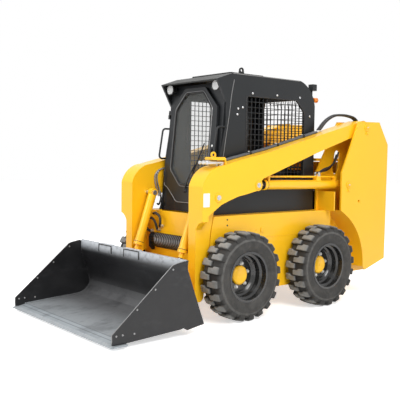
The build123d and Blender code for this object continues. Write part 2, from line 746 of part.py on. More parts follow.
for name, s in SIDES:
    barrel, piston_rod = cylinder(
        lift_base, lift_lug, s * lift_x, lift_barrel_r, lift_rod_r, lift_pin_r, 45, 1077, 0, line=True,
    )
    save(barrel, f"lift_barrel_{name}")
    save(piston_rod, f"lift_rod_{name}")
    with BuildPart() as lift_hoses:
        for out in (-11, 14):
            x = s * (lift_x + out)
            pipe(
                [
                    (x, port_y + out, port_z + line_r + 4), (x, port_y + out, port_z + 40),
                    (x - s * 12, port_y + 90, port_z + 62 + out),
                    (x - s * 35, port_y + 225, port_z + 84 + out),
                    (x - s * 50, port_y + 330, port_z + 150 + out),
                    (x - s * 55, port_y + 375, port_z + 235 + out),
                ],
                hose_r - 2,
            )
    save(lift_hoses, f"lift_hoses_{name}")
    barrel, piston_rod = cylinder(
        tilt_top, tilt_low, s * tilt_x, tilt_barrel_r, tilt_rod_r, tilt_pin_r, tilt_boss_r, 520, 80,
    )
    save(barrel, f"tilt_barrel_{name}")
    save(piston_rod, f"tilt_rod_{name}")

# ---------------------------------------------------------------- cab
cab_t = 20.0
roof_z = 2175.0
door_tilt = 5.5                 # front of the cab leans back by this many degrees
front_low = (-85.0, deck_z)     # foot of the cab's front face
window_rear = 1050.0
front_edge = [(-110, deck_z), (-80, 1000), (-37, 1430), (14, 1719), (20, 1900), (-100, 2110)]


def edge_y(z):
    """Place of the side panel's front edge at height z."""
    for (y0, z0), (y1, z1) in zip(front_edge, front_edge[1:]):
        if z0 <= z <= z1:
            return y0 + (y1 - y0) * (z - z0) / (z1 - z0)


for name, s in SIDES:
    with BuildPart() as cab_side:
        with BuildSketch(side(s * (cab_x - cab_t))) as panel:
            with BuildLine():
                Polyline((1200, 1939), (1200, deck_z), *front_edge, (90, roof_z), (980, roof_z))
                ThreePointArc((980, roof_z), (1130, 2085), (1200, 1939))
            make_face()
            with BuildLine():
                Polyline(
                    (262, 1215), (262, 1980), (940, 1980), (1050, 1865), (window_rear, 1215),
                    close=True,
                )
            make_face(mode=Mode.SUBTRACT)
        extrude(panel.sketch, amount=s * cab_t)
    save(cab_side, f"cab_side_{name}")

cab_in = cab_x - cab_t
eye_at = (340.0, roof_z + 58)       # lifting eye on the roof plate, (y, z)
eye_hole_r = 14.0
eye_x = 245.0
eye_t = 14.0
with BuildPart() as cab_roof:
    slab(
        -cab_in, cab_in,
        [
            (-100, 2110), (90, roof_z), (980, roof_z),
            (980, roof_z - cab_t), (92, roof_z - cab_t), (-96, 2098),
        ],
    )
    box(-280, 280, 180, 600, roof_z, roof_z + 28)
    eye_y, eye_z = eye_at
    slab(eye_x, eye_x + eye_t, [(eye_y - 32, roof_z + 20), (eye_y - 26, eye_z), (eye_y + 26, eye_z),
                                (eye_y + 32, roof_z + 20)])
    rod(eye_x, eye_x + eye_t, eye_at, eye_hole_r + 12)
    rod(eye_x - 5, eye_x + eye_t + 5, eye_at, eye_hole_r, mode=Mode.SUBTRACT)
save(cab_roof, "cab_roof")

with BuildPart() as cab_rear:
    with BuildSketch(side(-cab_in)) as wall:
        with BuildLine():
            ThreePointArc((980, roof_z), (1130, 2085), (1200, 1939))
            Polyline((1200, 1939), (1200, deck_z), (1200 - cab_t, deck_z), (1200 - cab_t, 1939))
            ThreePointArc((1200 - cab_t, 1939), (1116, 2071), (980, roof_z - cab_t))
            Line((980, roof_z - cab_t), (980, roof_z))
        make_face()
    extrude(wall.sketch, amount=2 * cab_in)
    box(-300, 300, 1150, 1250, 1300, 1880, mode=Mode.SUBTRACT)
    hinge_y, hinge_z = hood_hinge
    for x in hood_hinge_x:
        box(x - hood_leaf_w, x, cab_back - 5, hinge_y, hinge_z - 6, hinge_z + 6)
        rod(x - hood_leaf_w, x, hood_hinge, hood_hinge_r)
        rod(x - hood_leaf_w, x + hood_leaf_w, hood_hinge, hinge_pin_r)
save(cab_rear, "cab_rear")

door_plane = Plane(
    origin=(0, axle_y + front_low[0], front_low[1]), x_dir=(1, 0, 0),
    z_dir=(0, -cos(radians(door_tilt)), sin(radians(door_tilt))),
)
frame_t = 30.0
front_door_t = 28.0
seal_w = 14.0
glass_t = 6.0
front_hinge_x = 375.0
front_hinge_out = 25.0          # hinge line's distance in front of the cab's front face
front_hinge_r = 8.0
front_hinge_at = (330.0, 880.0)     # heights of the lower knuckles, up the sloping face


def door_face(out, inset=0):
    """Eight-sided door's face with its S-curved foot, out in front of the cab, drawn in by inset."""
    with BuildSketch(door_plane.offset(out)) as face:
        with BuildLine():
            for name, s in SIDES:
                ThreePointArc((s * 110, 85), (s * 158, 97), (s * 195, 130))
                ThreePointArc((s * 195, 130), (s * 262, 185), (s * 350, 240))
                Polyline((s * 350, 240), (s * 360, 467), (s * 330, 974), (s * 146, 1156), (0, 1156))
            Line((-110, 85), (110, 85))
        make_face()
        if inset:
            offset(amount=-inset, mode=Mode.REPLACE)
    return face.sketch


def window_face(out, inset):
    """Door window's face, eight-sided and narrow at its foot."""
    with BuildSketch(door_plane.offset(out)) as face:
        with BuildLine():
            Polyline(
                (-110, 251), (-270, 400), (-262, 959), (-125, 1110), (125, 1110), (262, 959),
                (270, 400), (110, 251), close=True,
            )
        make_face()
        offset(amount=-inset, mode=Mode.REPLACE)
    return face.sketch


def front_knuckle(up, height, radius, mode=Mode.ADD):
    """Round knuckle or pin on the front door's hinge line, from up to up + height along it."""
    foot = door_plane.offset(front_hinge_out)
    start = Plane(origin=foot.from_local_coords((-front_hinge_x, up, 0)), x_dir=(1, 0, 0), z_dir=foot.y_dir)
    with BuildSketch(start) as end:
        Circle(radius)
    extrude(end.sketch, amount=height, mode=mode)


def front_leaf(x0, x1, up, height, out0, out1):
    """Hinge leaf on the sloping front, between two distances out from the cab's face."""
    with BuildSketch(door_plane.offset(out0)) as leaf:
        with Locations(((x0 + x1) / 2, up + height / 2)):
            Rectangle(x1 - x0, height)
    extrude(leaf.sketch, amount=out1 - out0)


with BuildPart() as cab_front:
    with BuildSketch(door_plane.offset(-frame_t)) as surround:
        with Locations((0, 597)):
            Rectangle(2 * cab_in, 1194)
    extrude(surround.sketch, amount=frame_t)
    extrude(door_face(-frame_t, 25), amount=frame_t, mode=Mode.SUBTRACT)
    for up in front_hinge_at:
        front_leaf(-cab_in, -front_hinge_x, up, knuckle_h, -5, front_hinge_out)
        front_knuckle(up, knuckle_h, front_hinge_r)
        front_knuckle(up, 2 * knuckle_h, hinge_pin_r)
save(cab_front, "cab_front")

with BuildPart() as front_door:
    extrude(door_face(door_gap), amount=front_door_t)
    extrude(window_face(door_gap, -seal_w), amount=front_door_t, mode=Mode.SUBTRACT)
    extrude(window_face(door_gap + 8, -seal_w - 1), amount=glass_t)
    extrude(window_face(door_gap, 0), amount=front_door_t, mode=Mode.SUBTRACT)
    for up in front_hinge_at:
        up += knuckle_h + clearance
        front_leaf(-front_hinge_x, -320, up, knuckle_h, front_hinge_out - 4, front_hinge_out + 4)
        front_knuckle(up, knuckle_h, front_hinge_r)
        front_knuckle(up - 1, knuckle_h + 2, hinge_pin_r + pin_play, mode=Mode.SUBTRACT)
    front_leaf(300, 326, 470, 120, door_gap + front_door_t - 1, door_gap + front_door_t + 16)
save(front_door, "front_door")

with BuildPart() as door_glass:
    extrude(window_face(door_gap + 8, clearance), amount=glass_t)
save(door_glass, "door_glass")

# ---------------------------------------------------------------- mesh guards
mesh_pitch = 50.0
mesh_bar = 6.0
with BuildPart() as mesh_guards:
    for name, s in SIDES:
        x = s * (cab_in - 2 * mesh_bar)
        for i in range(17):
            y = 250 + mesh_pitch * i
            box(x, x + s * mesh_bar, y, y + mesh_bar, 1205, 1990)
        for i in range(15):
            z = 1230 + mesh_pitch * i
            box(x + s * mesh_bar, x + s * 2 * mesh_bar, 240, 1062, z, z + mesh_bar)
    rear_y = cab_back - cab_t - 2 * mesh_bar
    for i in range(12):
        x = -275 + mesh_pitch * i
        box(x, x + mesh_bar, rear_y, rear_y + mesh_bar, 1290, 1890)
    for i in range(11):
        z = 1320 + mesh_pitch * i
        box(-310, 310, rear_y + mesh_bar, rear_y + 2 * mesh_bar, z, z + mesh_bar)
save(mesh_guards, "mesh_guards")

# ---------------------------------------------------------------- lamps, handles and controls
under_slope = (roof_z - cab_t - 2098) / (92 + 96)   # rise of the visor's underside, rearward
with BuildPart() as work_lamps:
    for name, s in SIDES:
        lens_back = Plane(origin=(s * 335, axle_y + 12, 2062), x_dir=(1, 0, 0), z_dir=(0, -1, 0))
        with BuildSketch(lens_back) as lens:
            SlotOverall(78, 48)
        extrude(lens.sketch, amount=58)
        under = 2098 + 96 * under_slope - clearance
        slab(s * 325, s * 345, [(-30, 2080), (0, 2080), (0, under), (-30, under - 30 * under_slope)])
        box(s * 325, s * 385, 1197, 1255, 2098, 2162)
        back = cab_back + clearance
        stay = [(back, 1890), (back, 1936), (1214, 2000), (1214, 2110), (1226, 2110), (1226, 1990)]
        slab(s * 340, s * 356, stay)
save(work_lamps, "work_lamps")

with BuildPart() as beacons:
    for name, s in SIDES:
        post(s * 388, 2003, back, 1248, 24)
        box(s * 380, s * 396, back, back + 8, 1890, 1990)
        box(s * 505, s * 575, tower_back - clearance, tower_back + 14, 1430, 1500)
save(beacons, "beacons")

handle_r = 9.0
handle_x = cab_x - cab_t / 2
handle_low, handle_top = 1400.0, 1690.0
handle_out = 85.0
with BuildPart() as grab_handles:
    for name, s in SIDES:
        x = s * handle_x
        ends = [(edge_y(z - handle_r) - clearance, z) for z in (handle_top, handle_low)]
        (top_y, top_z), (low_y, low_z) = ends
        bow = [(top_y, top_z), (top_y - handle_out, top_z), (low_y - handle_out, low_z), (low_y, low_z)]
        pipe([(x, y, z) for y, z in bow], handle_r, bend=35)
save(grab_handles, "grab_handles")

hose_wall = frame_front - clearance
with BuildPart() as front_hoses:
    pipe(
        [(-350, hose_wall, 872), (-350, -225, 872), (-290, -245, 884), (-215, -245, 858),
         (-205, -245, 795), (-246, -225, 757), (-246, hose_wall, 757)],
        hose_r,
    )
    pipe(
        [(-402, hose_wall, 700), (-402, -235, 700), (-412, -268, 740), (-400, -266, 805), (-345, -250, 840),
         (-292, -240, 795), (-283, -225, 722), (-283, hose_wall, 722)],
        hose_r,
    )
save(front_hoses, "front_hoses")

# ---------------------------------------------------------------- cab interior
seat_z = 880.0
seat_half = 230.0
console_in = seat_half + 12
console_z = 1095.0
with BuildPart() as seat_base:
    box(-seat_half, seat_half, 420, 1000, belly_z + plate_t, seat_z)
    for name, s in SIDES:
        box(s * (seat_half - 5), s * (cab_in - 45), 500, 1000, 700, seat_z)
        box(s * console_in, s * (cab_in - 45), 500, 900, seat_z - 5, console_z)
save(seat_base, "seat_base")

with BuildPart() as seat_cushion:
    box(-seat_half, seat_half, 420, 920, seat_z + clearance, seat_z + 110)
save(seat_cushion, "seat_cushion")

back_foot = 920.0 + clearance
with BuildPart() as seat_back:
    slab(-220, 220, [(1015, seat_z + 40), (back_foot, seat_z + 40), (990, 1530), (1060, 1530)])
save(seat_back, "seat_back")

lever_x = (console_in + cab_in - 45) / 2
with BuildPart() as control_levers:
    for name, s in SIDES:
        foot_z = console_z + clearance
        pipe([(s * lever_x, 560, foot_z), (s * lever_x, 560, 1150), (s * (lever_x - 12), 520, 1215)], 9)
        with Locations((s * (lever_x - 14), axle_y + 512, 1232)):
            Sphere(26)
save(control_levers, "control_levers")
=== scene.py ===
"""Skid steer loader: finishes, tread, upholstery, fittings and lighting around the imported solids.

Lengths are in metres. X points to the machine's left, Y rearward and Z up, with the ground at 0.
Outlines are in millimetres and count y from the front axle, which lies at AXLE_Y in this frame.
"""
import math

import bmesh
import bpy
import numpy as np
from mathutils import Matrix, Vector


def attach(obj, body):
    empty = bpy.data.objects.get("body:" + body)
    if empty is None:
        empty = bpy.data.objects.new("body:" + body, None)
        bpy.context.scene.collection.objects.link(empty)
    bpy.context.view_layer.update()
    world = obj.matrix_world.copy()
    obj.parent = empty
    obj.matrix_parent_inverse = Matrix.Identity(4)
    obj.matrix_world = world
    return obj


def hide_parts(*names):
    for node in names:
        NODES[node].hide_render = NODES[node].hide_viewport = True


bpy.context.scene.view_settings.view_transform = "Standard"

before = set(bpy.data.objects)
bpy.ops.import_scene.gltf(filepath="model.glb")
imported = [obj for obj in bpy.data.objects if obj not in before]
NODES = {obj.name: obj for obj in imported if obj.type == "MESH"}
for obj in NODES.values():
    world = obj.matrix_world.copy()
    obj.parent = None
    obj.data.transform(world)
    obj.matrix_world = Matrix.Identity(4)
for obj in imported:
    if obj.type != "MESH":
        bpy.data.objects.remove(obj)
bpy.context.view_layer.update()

AXLE_Y = -0.339             # place of the front axle in this frame
WHEELBASE = 1.05
WHEEL_X = 0.6625
TYRE_R = 0.39
SIDES = (("left", 1), ("right", -1))
WHEELS = [(f"{end}_{name}", y, s) for end, y in (("front", 0.0), ("rear", WHEELBASE)) for name, s in SIDES]
LEFT, BACK, UP = (1, 0, 0), (0, 1, 0), (0, 0, 1)


def at(x, y, z):
    """Points in this frame's metres from millimetres, with y counted from the front axle."""
    x, y, z = np.broadcast_arrays(*(np.asarray(value, float) for value in (x, y, z)))
    return np.stack([x, y + 1000 * AXLE_Y, z], -1) / 1000


# --- shaders


def rgba(colour):
    """Colour from three numbers or from one grey."""
    return (*np.broadcast_to(colour, 3).tolist(), 1)


class Shader:
    """Short calls that add nodes to one shader tree; each returns the new node's output."""

    def __init__(self, tree):
        self.tree = tree

    def fill(self, node, **links):
        """Fills a node's inputs: a socket is linked and anything else is a value.

        An input is named by its label with underscores for spaces, or by i0, i1 and so on for its place.
        """
        for key, value in links.items():
            place = int(key[1:]) if key[0] == "i" and key[1:].isdigit() else key.replace("_", " ")
            if isinstance(value, bpy.types.NodeSocket):
                self.tree.links.new(value, node.inputs[place])
            else:
                node.inputs[place].default_value = value

    def put(self, kind, settings=None, **links):
        """Adds a node, sets its properties and fills its inputs."""
        node = self.tree.nodes.new(kind)
        for key, value in (settings or {}).items():
            setattr(node, key, value)
        self.fill(node, **links)
        return node

    def maths(self, operation, a, b=0.0, clamp=False):
        """Result of one Math node."""
        return self.put("ShaderNodeMath", {"operation": operation, "use_clamp": clamp}, i0=a, i1=b).outputs[0]

    def add(self, a, b, clamp=False):
        return self.maths("ADD", a, b, clamp)

    def less(self, a, b):
        return self.maths("SUBTRACT", a, b)

    def times(self, a, b, clamp=False):
        return self.maths("MULTIPLY", a, b, clamp)

    def away(self, value, middle):
        """Distance of a value from a middle."""
        return self.maths("ABSOLUTE", self.less(value, middle))

    def ramp(self, value, low, high, to_low=0.0, to_high=1.0):
        """Smooth step from to_low to to_high as value goes from low to high."""
        return self.put("ShaderNodeMapRange", {"interpolation_type": "SMOOTHSTEP"}, Value=value, From_Min=low,
                        From_Max=high, To_Min=to_low, To_Max=to_high).outputs[0]

    def mix(self, mask, first, second):
        """Mix of two colours by a mask; a colour is a socket or what rgba takes."""
        first, second = (colour if isinstance(colour, bpy.types.NodeSocket) else rgba(colour)
                         for colour in (first, second))
        return self.put("ShaderNodeMix", {"data_type": "RGBA"}, i0=mask, i6=first, i7=second).outputs[2]

    def noise(self, vector, scale, detail=4.0, roughness=0.55):
        """Noise value on a vector."""
        return self.put("ShaderNodeTexNoise", Vector=vector, Scale=scale, Detail=detail,
                        Roughness=roughness).outputs[0]

    def stretch(self, vector, factors):
        """Vector scaled along each axis."""
        return self.put("ShaderNodeVectorMath", {"operation": "MULTIPLY"}, i0=vector, i1=factors).outputs[0]

    def waves(self, vector, axis, scale):
        """Waves across an axis."""
        return self.put("ShaderNodeTexWave", {"bands_direction": axis}, Vector=vector, Scale=scale).outputs[1]

    def coord(self):
        """Object coordinates."""
        return self.put("ShaderNodeTexCoord").outputs["Object"]

    def seen(self):
        """1 for rays from the eye, straight, mirrored or through glass, and 0 for those that only light."""
        path = self.put("ShaderNodeLightPath").outputs
        mirrored = self.maths("MAXIMUM", path["Is Glossy Ray"], path["Is Transmission Ray"])
        return self.maths("MAXIMUM", path["Is Camera Ray"], mirrored)


def new_material(name):
    """Material with its tree's Shader and its Principled BSDF."""
    material = bpy.data.materials.new(name)
    material.use_nodes = True
    return material, Shader(material.node_tree), material.node_tree.nodes["Principled BSDF"]


def build_wear_group():
    """Grime low down and in patches, rubbed edges, and the colour, roughness and relief they give."""
    tree = bpy.data.node_groups.new("grime_and_rub", "ShaderNodeTree")
    for way, colours, numbers in (
            ("INPUT", ("Colour", "Worn Colour", "Dust Colour"),
             ("Roughness", "Rub", "Dust", "Dust Top", "Grain")),
            ("OUTPUT", ("Colour",), ("Roughness", "Height"))):
        for kind, labels in (("Color", colours), ("Float", numbers)):
            for label in labels:
                tree.interface.new_socket(name=label, in_out=way, socket_type=f"NodeSocket{kind}")
    net = Shader(tree)
    source, sink = net.put("NodeGroupInput").outputs, net.put("NodeGroupOutput")
    coord = net.coord()
    height = net.put("ShaderNodeSeparateXYZ", Vector=coord).outputs[2]
    patch = net.noise(coord, 6.0, 6.0, 0.62)
    fine = net.noise(coord, source["Grain"], 2.0)
    soft = net.put("ShaderNodeBevel", {"samples": 4}, Radius=0.006).outputs[0]
    flat = net.put("ShaderNodeNewGeometry").outputs["True Normal"]
    match = net.put("ShaderNodeVectorMath", {"operation": "DOT_PRODUCT"}, i0=soft, i1=flat).outputs["Value"]
    edge = net.ramp(match, 0.97, 0.72)
    scratch = net.ramp(net.noise(coord, 38.0, 5.0, 0.7), 0.44, 0.62)
    rub = net.times(net.times(edge, scratch), source["Rub"], True)
    low = net.ramp(net.maths("DIVIDE", height, source["Dust Top"]), 1.0, 0.0, 0.25, 1.0)
    dust = net.times(net.times(low, net.ramp(patch, 0.38, 0.68)), source["Dust"], True)
    tint = net.times(net.less(fine, 0.5), 0.05)
    colour = net.mix(dust, source["Colour"], source["Dust Colour"])
    colour = net.mix(rub, colour, source["Worn Colour"])
    colour = net.put("ShaderNodeHueSaturation", Color=colour, Value=net.add(1.0, tint)).outputs[0]
    rough = net.add(source["Roughness"], net.times(dust, 0.5), True)
    rough = net.add(rough, net.times(net.less(patch, 0.5), 0.12), True)
    net.fill(sink, Colour=colour, Roughness=rough, Height=net.less(fine, net.times(rub, 2.0)))
    return tree


WEAR = build_wear_group()


def finish(name, colour, roughness, metal=0.0, coat=0.0, bump=0.05, grain=250.0, rub=0.3, dust=0.1,
           worn=(0.32, 0.31, 0.3), dust_top=0.7, dirt=(0.33, 0.28, 0.22), ior=1.45, edge=0.0015, tint=None):
    """Painted, rubber or bare metal finish: the wear group feeds one Principled BSDF.

    edge is the radius by which sharp edges look rounded. tint may lay more colour over the base: it takes the
    Shader, the object coordinates, the colour and the roughness so far, and returns the last two.
    """
    material, net, skin = new_material(name)
    wear = net.put("ShaderNodeGroup", {"node_tree": WEAR}, Colour=rgba(colour), Worn_Colour=rgba(worn),
                   Dust_Colour=rgba(dirt), Roughness=roughness, Rub=rub, Dust=dust, Dust_Top=dust_top,
                   Grain=grain)
    shade, rough = wear.outputs["Colour"], wear.outputs["Roughness"]
    if tint:
        shade, rough = tint(net, net.coord(), shade, rough)
    rounded_edge = net.put("ShaderNodeBevel", {"samples": 4}, Radius=edge).outputs[0]
    relief = net.put("ShaderNodeBump", Strength=bump, Distance=0.001, Height=wear.outputs["Height"],
                     Normal=rounded_edge).outputs[0]
    net.fill(skin, Base_Color=shade, Roughness=rough, Normal=relief, Metallic=metal, Coat_Weight=coat,
             Coat_Roughness=0.08, IOR=ior)
    return material


def lug_highlights_and_wall_dust(net, coord, shade, rough):
    """Painted highlight on the tread's tops in patches, a dusty sidewall and a painted highlight on the
    sidewall's rib, by distance from the nearer axle.
    """
    axes = net.put("ShaderNodeSeparateXYZ", Vector=coord).outputs
    across = net.maths("MINIMUM", net.away(axes[1], AXLE_Y), net.away(axes[1], AXLE_Y + WHEELBASE))
    height = net.less(axes[2], TYRE_R)
    radius = net.maths("SQRT", net.add(net.times(across, across), net.times(height, height)))
    patch = net.noise(coord, 22.0, 5.0, 0.65)
    # painted highlight: the tread's tops turn lighter grey, in patches
    top = net.times(net.ramp(radius, 0.366, 0.389), net.ramp(patch, 0.2, 0.6, 0.6, 1.0))
    shade = net.mix(top, shade, (0.27, 0.272, 0.262))
    smear = net.times(net.ramp(net.noise(coord, 9.0, 5.0, 0.7), 0.4, 0.75), 0.5)
    wall = net.times(smear, net.ramp(radius, 0.37, 0.33))
    shade = net.mix(wall, shade, (0.105, 0.1, 0.092))
    # painted highlight: a light ring on the sidewall's raised rib
    rib = net.ramp(net.away(radius, 0.322), 0.013, 0.006)
    rib = net.times(rib, net.ramp(patch, 0.3, 0.6, 0.35, 0.75))
    return net.mix(rib, shade, (0.13, 0.127, 0.12)), rough


EDGE_JOINTS = (-1.656, -1.7)    # places along Y of the joints between the bucket's floor and its edge


def scoured_floor_and_lip_reflection(net, coord, shade, rough):
    """Paint scoured to dull steel inside the bucket, brighter to the front, and a painted sky reflection on the
    rolled upper lip, broken into streaks.

    The steel shows where the inside lies low, fades up the curved back, and ends in two lighter bands with
    dark joints between them where the floor meets the cutting edge.
    """
    axes = net.put("ShaderNodeSeparateXYZ", Vector=coord).outputs
    inside = net.ramp(net.maths("ABSOLUTE", axes[0]), 0.8165, 0.815)
    floor_low = net.ramp(axes[2], 0.3, 0.1)
    stretched = net.stretch(coord, (0.8, 0.5, 1.0))
    blotch = net.noise(stretched, 4.5, 5.0, 0.6)
    streak = net.noise(stretched, 26.0, 4.0, 0.6)
    bare = net.times(net.times(inside, floor_low), net.ramp(blotch, 0.3, 0.52, 0.55, 1.0))
    steel = net.mix(net.ramp(axes[1], -1.15, -1.7), (0.105, 0.106, 0.108), (0.25, 0.268, 0.28))
    steel = net.mix(net.times(net.ramp(streak, 0.5, 0.75), 0.5), steel, (0.07, 0.073, 0.078))
    steel = net.mix(net.times(net.ramp(axes[1], -1.652, -1.656), 0.8), steel, (0.27, 0.3, 0.32))
    for joint in EDGE_JOINTS:
        line = net.ramp(net.away(axes[1], joint), 0.006, 0.003)
        steel = net.mix(net.times(line, 0.6), steel, (0.06, 0.065, 0.07))
    scuff = net.times(net.ramp(blotch, 0.5, 0.72), net.ramp(streak, 0.4, 0.65))
    shade = net.mix(net.times(scuff, 0.12), shade, (0.12, 0.12, 0.125))
    # painted reflection: the upper lip turns light grey towards its top, as a mirrored sky would, in streaks
    lip = net.times(net.ramp(axes[2], 0.5, 0.6), net.ramp(streak, 0.3, 0.55, 0.65, 1.0))
    shade = net.mix(net.times(net.times(lip, inside), 0.85), shade, (0.62, 0.65, 0.68))
    return net.mix(bare, shade, steel), net.add(rough, net.times(bare, 0.1), True)


def brushed_bands(net, coord, shade, rough):
    """Fine grey bands across a worn steel edge."""
    band = net.ramp(net.noise(net.stretch(coord, (1.0, 0.15, 1.0)), 60.0, 3.0, 0.6), 0.35, 0.7)
    return net.mix(net.times(band, 0.5), shade, (0.2, 0.22, 0.235)), rough


def woven(net, coord, shade, rough):
    """Seat cloth: two crossed thread waves that lighten the colour where a thread comes up."""
    threads = [net.waves(coord, axis, 110.0) for axis in "XY"]
    return net.mix(net.times(net.times(*threads), 0.6), shade, (0.06, 0.06, 0.066)), rough


YELLOW = finish("machine_yellow", (0.96, 0.525, 0.01), 0.3, coat=0.18, bump=0.03,
                worn=(0.8, 0.42, 0.04), dirt=(0.7, 0.36, 0.06), edge=0.003)
CAB_BLACK = finish("cab_black", (0.011, 0.0125, 0.014), 0.36, coat=0.02, bump=0.06, grain=420.0,
                   rub=0.35, dust=0.08, worn=(0.16, 0.16, 0.165), dirt=0.05, ior=1.4, edge=0.002)
ROOF_BLACK = finish("roof_black", (0.009, 0.01, 0.009), 0.55, bump=0.12, grain=500.0, rub=0.35,
                    dust=0.12, worn=0.12, dirt=0.05, edge=0.003)
BUCKET_BLACK = finish("bucket_black", (0.011, 0.011, 0.012), 0.32, coat=0.03, bump=0.08,
                      rub=0.75, worn=(0.26, 0.26, 0.27), dirt=0.06, ior=1.4, edge=0.002, tint=scoured_floor_and_lip_reflection)
EDGE_STEEL = finish("worn_edge_steel", (0.36, 0.39, 0.41), 0.5, metal=0.4, bump=0.2, dust=0.25,
                    dirt=(0.34, 0.33, 0.32), tint=brushed_bands)
PIN_STEEL = finish("pin_steel", (0.6, 0.6, 0.61), 0.34, metal=0.9, rub=0.2)
ZINC = finish("zinc_plate", (0.62, 0.62, 0.6), 0.3, metal=0.75, bump=0.06, grain=600.0)
# light grey: steel lines and bolts, and the painted highlights along the bucket's cheeks, the step's ribs, the
# door and the cab's edges
LINE_GREY = finish("line_grey", 0.25, 0.4, metal=0.4, bump=0.06, rub=0.2)
CHROME = finish("rod_chrome", (0.78, 0.78, 0.8), 0.08, metal=1.0, bump=0.01, rub=0.0, dust=0.03)
RUBBER = finish("tyre_rubber", (0.042, 0.041, 0.039), 0.8, bump=0.35, grain=600.0, rub=0.4,
                dust=0.3, worn=(0.13, 0.13, 0.125), dirt=(0.14, 0.136, 0.128), dust_top=0.9, ior=1.3,
                tint=lug_highlights_and_wall_dust)
RIM_BLACK = finish("rim_black", 0.014, 0.16, coat=0.35, bump=0.04, rub=0.4, dust=0.25,
                   worn=(0.16, 0.17, 0.18), dirt=(0.085, 0.082, 0.075), edge=0.002)
IRON = finish("engine_iron", (0.05, 0.05, 0.055), 0.6, metal=0.3, bump=0.4, grain=120.0, dust=0.4)
HOSE = finish("hose_rubber", (0.014, 0.014, 0.015), 0.5, bump=0.15, grain=900.0, rub=0.2,
              dust=0.2, worn=0.06)
SLEEVE = finish("line_sleeve", (0.085, 0.09, 0.1), 0.34, bump=0.1, grain=700.0, rub=0.2,
                dust=0.15, worn=(0.2, 0.2, 0.21))
SEAL = finish("seal_rubber", (0.01, 0.01, 0.011), 0.5, bump=0.1, grain=500.0, rub=0.2, worn=0.06,
              dust_top=3.0)
CLOTH = finish("seat_cloth", (0.022, 0.022, 0.025), 0.85, bump=0.4, grain=900.0, rub=0.0,
               dirt=0.08, dust_top=3.0, ior=1.3, tint=woven)
ENAMEL = finish("white_enamel", (0.86, 0.86, 0.85), 0.35, coat=0.1, bump=0.02, rub=0.2,
                dust=0.05, worn=0.5, dirt=(0.6, 0.58, 0.5))


def clear(name, colour, roughness, transmission, alpha=1.0, ribs=0.0):
    """Glass or lens: a plain Principled BSDF with a faint ripple, or with upright moulded ribs."""
    material, net, skin = new_material(name)
    coord = net.coord()
    height = net.waves(coord, "X", ribs) if ribs else net.noise(coord, 30.0)
    strength, distance = (0.5, 0.002) if ribs else (0.03, 0.001)
    relief = net.put("ShaderNodeBump", Strength=strength, Distance=distance, Height=height).outputs[0]
    net.fill(skin, Normal=relief, Base_Color=rgba(colour), Roughness=roughness,
             Transmission_Weight=transmission, Alpha=alpha)
    return material


GLASS = clear("door_glass_tint", (0.25, 0.26, 0.25), 0.02, 0.0, alpha=0.17)
LENS = clear("lamp_lens", (0.86, 0.87, 0.86), 0.1, 0.3, ribs=70.0)
AMBER = clear("amber_lens", (0.95, 0.28, 0.02), 0.15, 0.3, ribs=50.0)
RED = clear("red_lens", (0.6, 0.01, 0.01), 0.15, 0.2, ribs=50.0)

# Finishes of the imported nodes, where they aren't the cab's: the longest start of a node's name decides.
FINISHES = (
    (YELLOW, "hub arm_ chassis coupler tower tower_pins hood rear_door lift_barrel tilt_barrel"),
    (HOSE, "arm_hoses lift_hoses front_hoses"), (CHROME, "lift_rod tilt_rod"), (RUBBER, "tyre"),
    (CLOTH, "seat_cushion seat_back"), (RIM_BLACK, "rim"), (LINE_GREY, "arm_lines"), (PIN_STEEL, "arm_pins"),
    (IRON, "engine"), (BUCKET_BLACK, "bucket"), (EDGE_STEEL, "cutting"), (ROOF_BLACK, "cab_roof"),
    (GLASS, "door_glass"), (AMBER, "beacons"), (ZINC, "quick_couplers"),
)
FINISH_OF = {start: material for material, starts in FINISHES for start in starts.split()}
for node_name, node in NODES.items():
    best = max((start for start in FINISH_OF if node_name.startswith(start)), key=len, default="")
    node.data.materials.clear()
    node.data.materials.append(FINISH_OF.get(best, CAB_BLACK))

# --- surfaces from arrays


def link(name, data):
    """New object in the scene."""
    thing = bpy.data.objects.new(name, data)
    bpy.context.scene.collection.objects.link(thing)
    return thing


def mend(mesh, merge=1e-5):
    """Merges points that fall together, drops edges of no length and turns the faces outward."""
    work = bmesh.new()
    work.from_mesh(mesh)
    bmesh.ops.remove_doubles(work, verts=work.verts, dist=merge)
    bmesh.ops.dissolve_degenerate(work, edges=work.edges, dist=1e-6)
    bmesh.ops.recalc_face_normals(work, faces=work.faces)
    work.to_mesh(mesh)
    work.free()


def smooth(mesh, crease):
    """Smooth shading, with edges sharper than the crease angle in degrees kept sharp."""
    mesh.polygons.foreach_set("use_smooth", np.ones(len(mesh.polygons), bool))
    mesh.set_sharp_from_angle(angle=math.radians(crease))


def grid_mesh(name, grids, wrap):
    """Mesh from point grids of shape (copies, rows, columns, 3), one closed or open sheet per copy.

    wrap names what runs round: rows, columns, both or none. A face joins the points (i, j), (i+1, j),
    (i+1, j+1) and (i, j+1), and merging closes poles and seams.
    """
    points, faces, count = [], [], 0
    for grid in grids:
        number = np.arange(count, count + grid.size // 3).reshape((-1,) + grid.shape[-3:-1])
        count += number.size
        if wrap in ("rows", "both"):
            number = np.concatenate([number, number[:, :1]], 1)
        if wrap in ("columns", "both"):
            number = np.concatenate([number, number[..., :1]], 2)
        near, far = number[:, :-1], number[:, 1:]
        points.append(grid.reshape(-1, 3))
        faces.append(np.stack([near[..., :-1], far[..., :-1], far[..., 1:], near[..., 1:]], -1).reshape(-1, 4))
    mesh = bpy.data.meshes.new(name)
    mesh.from_pydata(np.concatenate(points).tolist(), [], np.concatenate(faces).tolist())
    mend(mesh)
    return mesh


